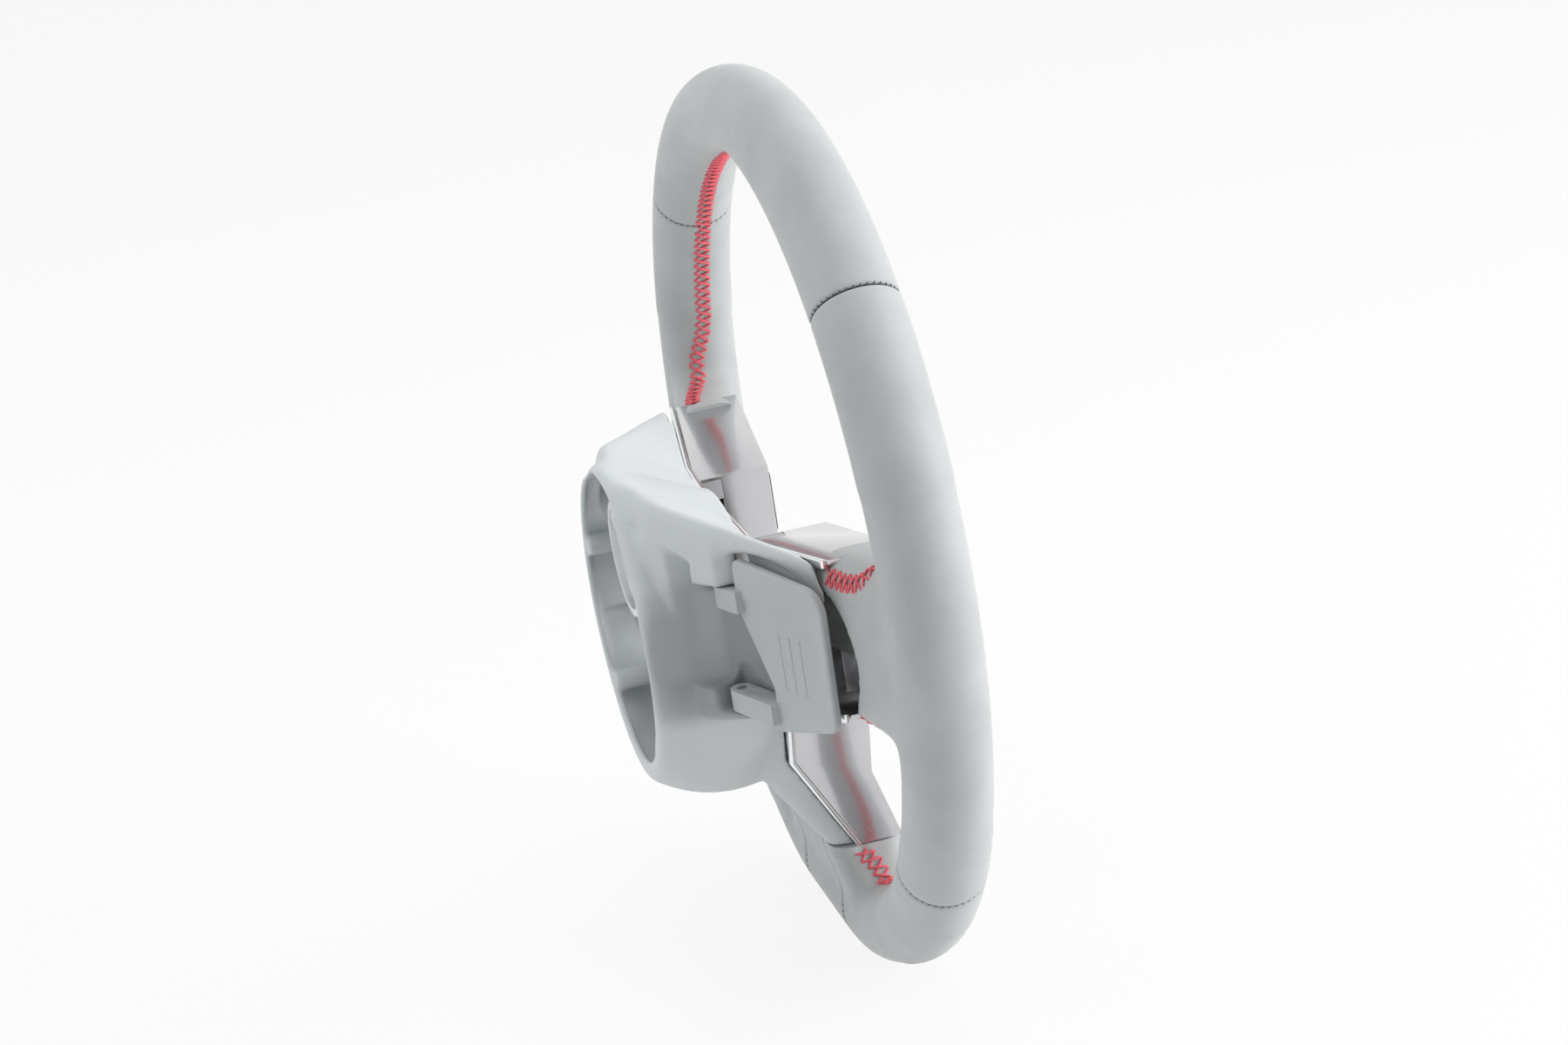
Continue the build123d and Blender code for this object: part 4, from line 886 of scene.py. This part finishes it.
def curve_mesh(name, kind, rows, **values):
    """Mesh of a curve that has a spline along each row of points."""
    curve = bpy.data.curves.new(name, "CURVE")
    curve.dimensions = "3D"
    for key, value in values.items():
        setattr(curve, key, value)
    for row in rows:
        spline = curve.splines.new(kind)
        spline.points.add(len(row) - 1)
        for target, point in zip(spline.points, row):
            target.co = (*point, 1.0)
        if kind == "NURBS":
            spline.order_u = 3
            spline.use_endpoint_u = True
    holder = bpy.data.objects.new(name, curve)
    mesh = bpy.data.meshes.new_from_object(holder)
    bpy.data.objects.remove(holder)
    bpy.data.curves.remove(curve)
    return mesh


def smooth_line(points):
    """Close points along a smooth line led by rough ones."""
    mesh = curve_mesh("route", "NURBS", [points], resolution_u=24)
    line = [vert.co.copy() for vert in mesh.vertices]
    bpy.data.meshes.remove(mesh)
    return line


def even_steps(line, step):
    """Points at an even step along a row of close points."""
    even = [line[0]]
    left = step
    for first, second in zip(line, line[1:]):
        run = (second - first).length
        gone = 0.0
        while run - gone >= left:
            gone += left
            even.append(first.lerp(second, gone / run))
            left = step
        left -= run - gone
    return even


def threads(strands, radius, name, material):
    """Short threads as tubes along rows of points."""
    tube = {"bevel_depth": radius, "bevel_resolution": 1, "use_fill_caps": True}
    mesh = curve_mesh(name, "POLY", strands, **tube)
    mesh.shade_smooth()
    return add_mesh(mesh, name, material, "wheel")


class WHEEL_OT_leather(bpy.types.Operator):
    """Wraps the rim and the spokes' ends in six leather panels over foam"""

    bl_idname = "wheel.leather"
    bl_label = "Leather panels"

    def execute(self, context):
        size = sizes()
        leather = leather_finish("grip leather", colours().leather)
        foam = foam_finish("rim foam", colours().foam)
        core = grip_form(size.leather)
        padding = add_piece(core, "grip_foam", foam, "wheel", ("rim_foam",))
        skin = grip_form(0.0)
        for _, way in SIDES:
            plane = Vector((way * SIDE_STUB_END, 0.0, 0.0))
            clip(
                skin,
                plane,
                Vector((way, 0.0, 0.0)),
                lambda point: way * point.x > SIDE_STUB_FROM and abs(point.z) < SIDE_STUB_HALF,
            )
        down = Vector((0.0, 0.0, -1.0))
        clip(
            skin,
            down * LOWER_STUB_END,
            down,
            lambda point: point.z < LOWER_STUB_FROM and abs(point.x) < LOWER_STUB_HALF,
        )
        lines = [even_steps(smooth_line(route), GROOVE_STEP) for route in lace_routes()]
        groove = [point for line in lines for point in line]
        tree = KDTree(len(groove))
        for index, point in enumerate(groove):
            tree.insert(point, index)
        tree.balance()
        skin.normal_update()
        for vert in skin.verts:
            share = 1.0 - tree.find(vert.co)[2] / GROOVE_REACH
            if share > 0.0:
                vert.co -= vert.normal * (GROOVE_DEPTH * share)
        close_ends(skin)
        whole = bpy.data.meshes.new("skin")
        skin.to_mesh(whole)
        skin.free()
        planes = seam_planes()
        for panel in LEATHER_NODES:
            bm = bmesh.new()
            bm.from_mesh(whole)
            for point, normal in planes[panel]:
                clip(bm, point, normal)
            if panel == "bottom":
                clip(bm, Vector((0.0, 0.0, LOWER_STUB_FROM)), down)
            for point, normal in planes[panel]:
                turn_in(bm, point, normal)
            node = "leather_" + panel
            add_piece(bm, "grip_" + node, leather, "wheel", (node,))
        bpy.data.meshes.remove(whole)
        return {"FINISHED"}


class WHEEL_OT_lacing(bpy.types.Operator):
    """Laces the leather along the inside of the rim with crossed threads"""

    bl_idname = "wheel.lacing"
    bl_label = "Lacing"

    def execute(self, context):
        size = sizes()
        thread = thread_finish("lacing thread", colours().lacing)
        bm = bmesh.new()
        for panel in LEATHER_NODES:
            bm.from_mesh(bpy.data.objects["grip_leather_" + panel].data)
        skin = BVHTree.FromBMesh(bm)
        bm.free()
        for place, route in zip(("upper", "lower_right", "lower_left"), lace_routes()):
            laid = [skin.find_nearest(point)[0] for point in smooth_line(route)]
            seats = [skin.find_nearest(point) for point in even_steps(laid, size.lace_pitch)]
            strands = []
            for first, second in zip(seats, seats[1:]):
                strands += self.cross(skin, first, second)
            threads(strands, size.thread, place + "_lacing", thread)
        return {"FINISHED"}

    def cross(self, skin, first, second):
        """Two crossed threads between two places on the lacing's line."""
        size = sizes()
        along = second[0] - first[0]
        up = (first[1] + second[1]).normalized()
        over = up.cross(along).normalized() * size.lace_half
        rows = []
        for way, lift in CROSS:
            start = first[0] + over * way
            end = second[0] - over * way
            row = []
            for share, rise in (*STRAND[:2], (0.5, lift), *STRAND[2:]):
                seat, normal, _, _ = skin.find_nearest(start.lerp(end, share))
                row.append(seat + normal * (size.thread * rise * STRAND_BULK))
            rows.append(row)
        return rows


class WHEEL_OT_seams(bpy.types.Operator):
    """Sews the leather panels together across their seams"""

    bl_idname = "wheel.seams"
    bl_label = "Seam stitches"

    def execute(self, context):
        size = sizes()
        thread = thread_finish("seam thread", colours().seam)
        strands = []
        number = int(tau * GRIP / size.seam_pitch)
        for centre, radial in seam_sections():
            along = radial.cross(BACK)
            for step in range(number):
                turn = tau * step / number
                outward = radial * cos(turn) + BACK * sin(turn)
                if outward.dot(radial) < SEAM_HIDDEN and radial.x == 0.0:
                    continue
                reach = centre + outward * GRIP
                row = []
                for share, sink in SEAM_STITCH:
                    row.append(reach + along * (share * size.roll_width) - outward * sink)
                strands.append(row)
        threads(strands, size.seam_thread, "seam_stitches", thread)
        return {"FINISHED"}


class WHEEL_OT_cover(bpy.types.Operator):
    """Rear cover with the soft edges of a moulding"""

    bl_idname = "wheel.cover"
    bl_label = "Rear cover"

    def execute(self, context):
        size = sizes()
        plastic = cover_finish("cover plastic", colours().cover)
        strips = node_copy("upper_trim_strip", "lower_left_trim_strip", "lower_right_trim_strip")
        fixed = BVHTree.FromBMesh(strips)
        strips.free()
        bm = node_copy("rear_cover")
        bm = softened(bm, size.cover_voxel, size.cover_rounds, fixed, STRIP_REACH)
        self.round_ridge(bm)
        bm = modified(bm, "DECIMATE", ratio=COVER_SHARE)
        add_piece(bm, "moulded_rear_cover", plastic, "wheel", ("rear_cover",))
        return {"FINISHED"}

    def round_ridge(self, bm):
        """Swells and rounds the ridge along the top of the arms."""
        size = sizes()
        near = []
        for vert in bm.verts:
            out = abs(vert.co.x)
            for (x0, y0, z0), (x1, y1, z1) in zip(RIDGE, RIDGE[1:]):
                if x0 <= out <= x1:
                    share = (out - x0) / (x1 - x0)
                    level, top = y0 + (y1 - y0) * share, z0 + (z1 - z0) * share
                    away = sqrt((vert.co.y - RIM_Y - level) ** 2 + (vert.co.z - top) ** 2)
                    if away < size.ridge_reach:
                        near.append((vert, 1.0 - away / size.ridge_reach))
        for vert, share in near:
            vert.co += RIDGE_UP * (size.ridge_lift * share)
        smooth(bm, [vert for vert, _ in near], size.ridge_rounds)


class WHEEL_OT_paddles(bpy.types.Operator):
    """Shift paddles with rounded edges, their steel pins, leaf springs and switches"""

    bl_idname = "wheel.paddles"
    bl_label = "Shift paddles"

    def execute(self, context):
        size = sizes()
        plastic = moulded_finish("paddle plastic", colours().paddle, *PADDLE_GRAIN)
        steel = turned_finish("pin steel", colours().steel)
        housing = moulded_finish("paddle switch plastic", colours().housing, *SWITCH_GRAIN)
        for side, way in SIDES:
            node = side + "_paddle"
            name = side + "_shift_paddle"
            bevelled_piece(node, size.paddle_edge, name, plastic, node)
            self.leaf_spring(side, way, steel)
            paint(steel, side + "_paddle_pins")
            paint(housing, side + "_paddle_switch")
        return {"FINISHED"}

    def leaf_spring(self, side, way, steel):
        """A leaf spring, cut across in slices between where its foot ends and its tip starts."""
        node = side + "_paddle_spring"
        bm = node_copy(node)
        foot, tip = (Vector((way * x, y, z)) for x, y, z in (LEAF_FOOT, LEAF_TIP))
        for step in range(LEAF_CUTS + 1):
            slice_at(bm, foot.lerp(tip, step / LEAF_CUTS), tip - foot)
        sharp = [edge for edge in bm.edges if edge.calc_face_angle(0.0) > LEAF_SHARP]
        bmesh.ops.split_edges(bm, edges=sharp)
        spring = add_piece(bm, side + "_leaf_spring", steel, None, (node,))
        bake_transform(spring)


class WHEEL_OT_front(bpy.types.Operator):
    """Silver front bezel and the bright strips between it and the rear cover"""

    bl_idname = "wheel.front"
    bl_label = "Front bezel and strips"

    def execute(self, context):
        size = sizes()
        silver = lacquer_finish("bezel lacquer", colours().bezel)
        bright = plated_finish("bright plating", colours().bright)
        bm = bevelled_copy("front_bezel", size.bezel_edge)
        for _, side in SIDES:
            web = bmesh.ops.create_cube(bm, size=1.0)["verts"]
            bmesh.ops.scale(bm, verts=web, vec=WEB_SIZE)
            x, y, z = WEB_PLACE
            bmesh.ops.translate(bm, verts=web, vec=in_rim_frame(side * x, y, z))
            edges = list({edge for vert in web for edge in vert.link_edges})
            bmesh.ops.split_edges(bm, edges=edges)
        add_piece(bm, "gloss_front_bezel", silver, "wheel", ("front_bezel",))
        for place in ("upper", "lower_left", "lower_right"):
            node, name = place + "_trim_strip", place + "_bright_strip"
            bevelled_piece(node, size.strip_edge, name, bright)
        return {"FINISHED"}


class WHEEL_OT_switches(bpy.types.Operator):
    """Switch clusters on the side spokes: housings, rockers, keys and boards"""

    bl_idname = "wheel.switches"
    bl_label = "Switch clusters"

    def execute(self, context):
        size = sizes()
        housing = moulded_finish("housing plastic", colours().housing, *HOUSING_GRAIN)
        keys = moulded_finish("key plastic", colours().key, *KEY_GRAIN)
        board = board_finish("circuit board", colours().board)
        for side, _ in SIDES:
            node, name = side + "_switch_housing", side + "_cluster_housing"
            bevelled_piece(node, size.housing_edge, name, housing)
            for part in ("rocker", "upper_key", "lower_key"):
                body = side + "_" + part
                bevelled_piece(body, size.key_edge, body + "_cap", keys, body)
            paint(board, side + "_switch_board")
        return {"FINISHED"}


class WHEEL_OT_metal(bpy.types.Operator):
    """Cast armature, column insert, screws, harness and plug"""

    bl_idname = "wheel.metal"
    bl_label = "Armature and fittings"

    def execute(self, context):
        cast = cast_finish("cast metal", colours().casting)
        steel = turned_finish("turned steel", colours().steel)
        cable = cable_finish("harness sleeve", colours().cable)
        plug = moulded_finish("plug plastic", colours().plug, *PLUG_GRAIN)
        bevelled_piece("armature", sizes().casting_edge, "cast_armature", cast)
        paint(steel, "column_insert", "cover_screws")
        paint(cable, "wiring_harness")
        paint(plug, "harness_connector")
        return {"FINISHED"}


class WHEEL_OT_stage(bpy.types.Operator):
    """Pale floor, soft lamps and the camera"""

    bl_idname = "wheel.stage"
    bl_label = "Stage"

    def execute(self, context):
        stage = context.scene.wheel_stage
        self.floor()
        self.world(stage.ambient, stage.shaded)
        self.lamp("key_lamp", KEY_PLACE, stage.key)
        self.lamp("rear_lamp", REAR_PLACE, stage.rear)
        self.lamp("top_lamp", TOP_PLACE, stage.top)
        self.camera(stage)
        context.scene.view_settings.view_transform = "Standard"
        return {"FINISHED"}

    def seen(self, tree):
        """One where a ray comes from the camera, a reflection or a glassy surface."""
        path = new_node(tree, "LightPath").outputs
        shown = math_node(tree, "MAXIMUM", path["Is Camera Ray"], path["Is Glossy Ray"])
        return math_node(tree, "MAXIMUM", shown, path["Is Transmission Ray"])

    def mix(self, tree, weight, plain, shown, output):
        """Joins two shaders by a weight and feeds them to the output."""
        mix = new_node(tree, "MixShader")
        for source, target in zip((weight, plain, shown), mix.inputs):
            tree.links.new(source, target)
        tree.links.new(mix.outputs["Shader"], tree.nodes[output].inputs["Surface"])

    def floor(self):
        """A large pale floor under the rim that keeps the wheel's shadow."""
        bm = bmesh.new()
        bmesh.ops.create_grid(bm, x_segments=8, y_segments=8, size=FLOOR_HALF)
        bmesh.ops.translate(bm, verts=bm.verts[:], vec=(0.0, 0.0, CAD_BOX[0].z - FLOOR_DROP))
        mesh = bpy.data.meshes.new("floor")
        bm.to_mesh(mesh)
        bm.free()
        pale = bpy.data.materials.new("pale floor")
        pale.use_nodes = True
        tree = pale.node_tree
        shader = tree.nodes["Principled BSDF"]
        shader.inputs["Base Color"].default_value = (FLOOR_SHADE, FLOOR_SHADE, FLOOR_SHADE, 1.0)
        shader.inputs["Roughness"].default_value = 0.9
        glow = new_node(tree, "Emission", Color=(1.0, 1.0, 1.0, 1.0))
        weight = math_node(tree, "MULTIPLY", self.seen(tree), FLOOR_GLOW)
        self.mix(tree, weight, shader.outputs["BSDF"], glow.outputs["Emission"], "Material Output")
        add_mesh(mesh, "floor", pale, None)

    def world(self, ambient, shaded):
        """White to the eye and in reflections; a soft light on the object, weaker from its left."""
        world = bpy.data.worlds.new("studio")
        world.use_nodes = True
        tree = world.node_tree
        plain = tree.nodes["Background"]
        plain.inputs["Color"].default_value = (0.97, 0.985, 1.0, 1.0)
        way = new_node(tree, "VectorMath")
        way.operation = "DOT_PRODUCT"
        way.inputs[1].default_value = (-1.0, 0.0, 0.0)
        tree.links.new(new_node(tree, "TexCoord").outputs["Generated"], way.inputs[0])
        fall = range_node(tree, way.outputs["Value"], SHADE_FROM, SHADE_TO, ambient, shaded)
        tree.links.new(fall, plain.inputs["Strength"])
        white = new_node(tree, "Background", Color=(1.0, 1.0, 1.0, 1.0), Strength=1.0)
        shaders = (plain.outputs["Background"], white.outputs["Background"])
        self.mix(tree, self.seen(tree), *shaders, "World Output")
        bpy.context.scene.world = world

    def lamp(self, name, place, power):
        """A large soft lamp that faces the wheel and isn't mirrored in it."""
        light = bpy.data.lights.new(name, "AREA")
        light.energy = power
        light.size = LAMP_SIZE
        lamp = bpy.data.objects.new(name, light)
        lamp.visible_glossy = False
        lamp.location = place
        way = in_rim_frame(0, 0, 0) - Vector(place)
        lamp.rotation_euler = way.to_track_quat("-Z", "Y").to_euler()
        bpy.context.scene.collection.objects.link(lamp)

    def camera(self, stage):
        """Camera at the photograph's viewing angle."""
        data = bpy.data.cameras.new("camera")
        data.lens = stage.lens
        data.sensor_width = 36.0
        data.dof.use_dof = False
        turn, rise = stage.azimuth, stage.elevation
        back = Vector((cos(rise) * sin(turn), -cos(rise) * cos(turn), sin(rise)))
        level = Vector((cos(turn), sin(turn), 0.0))
        upright = back.cross(level)
        right = level * cos(stage.roll) + upright * sin(stage.roll)
        pose = Matrix((right, back.cross(right), back)).transposed().to_4x4()
        pose.translation = Vector(stage.target) + back * stage.distance
        camera = bpy.data.objects.new("camera", data)
        camera.matrix_world = pose
        bpy.context.scene.collection.objects.link(camera)
        bpy.context.scene.camera = camera


OPERATORS = (
    WHEEL_OT_leather,
    WHEEL_OT_lacing,
    WHEEL_OT_seams,
    WHEEL_OT_cover,
    WHEEL_OT_paddles,
    WHEEL_OT_front,
    WHEEL_OT_switches,
    WHEEL_OT_metal,
    WHEEL_OT_stage,
)


GROUPS = {"wheel_sizes": WheelSizes, "wheel_colours": WheelColours, "wheel_stage": WheelStage}


class WHEEL_PT_panel(bpy.types.Panel):
    """Lists the wheel's pieces and their values"""

    bl_label = "Steering wheel"
    bl_idname = "WHEEL_PT_panel"
    bl_space_type = "VIEW_3D"
    bl_region_type = "UI"
    bl_category = "Wheel"

    def draw(self, context):
        for operator in OPERATORS:
            self.layout.operator(operator.bl_idname)
        for name in GROUPS:
            group = getattr(context.scene, name)
            box = self.layout.box()
            for key in group.bl_rna.properties.keys():
                if key not in ("rna_type", "name"):
                    box.prop(group, key)


CLASSES = (*GROUPS.values(), *OPERATORS, WHEEL_PT_panel)


def register():
    """Adds the classes and the scene's values."""
    for kind in CLASSES:
        bpy.utils.register_class(kind)
    for name, kind in GROUPS.items():
        setattr(bpy.types.Scene, name, PointerProperty(type=kind))


def unregister():
    """Takes the values and the classes away."""
    for name in GROUPS:
        delattr(bpy.types.Scene, name)
    for kind in reversed(CLASSES):
        bpy.utils.unregister_class(kind)


def main():
    """Builds the wheel's looks."""
    register()
    bpy.ops.wheel.leather()
    bpy.ops.wheel.lacing()
    bpy.ops.wheel.seams()
    bpy.ops.wheel.cover()
    bpy.ops.wheel.paddles()
    bpy.ops.wheel.front()
    bpy.ops.wheel.switches()
    bpy.ops.wheel.metal()
    bpy.ops.wheel.stage()


if __name__ == "__main__":
    main()
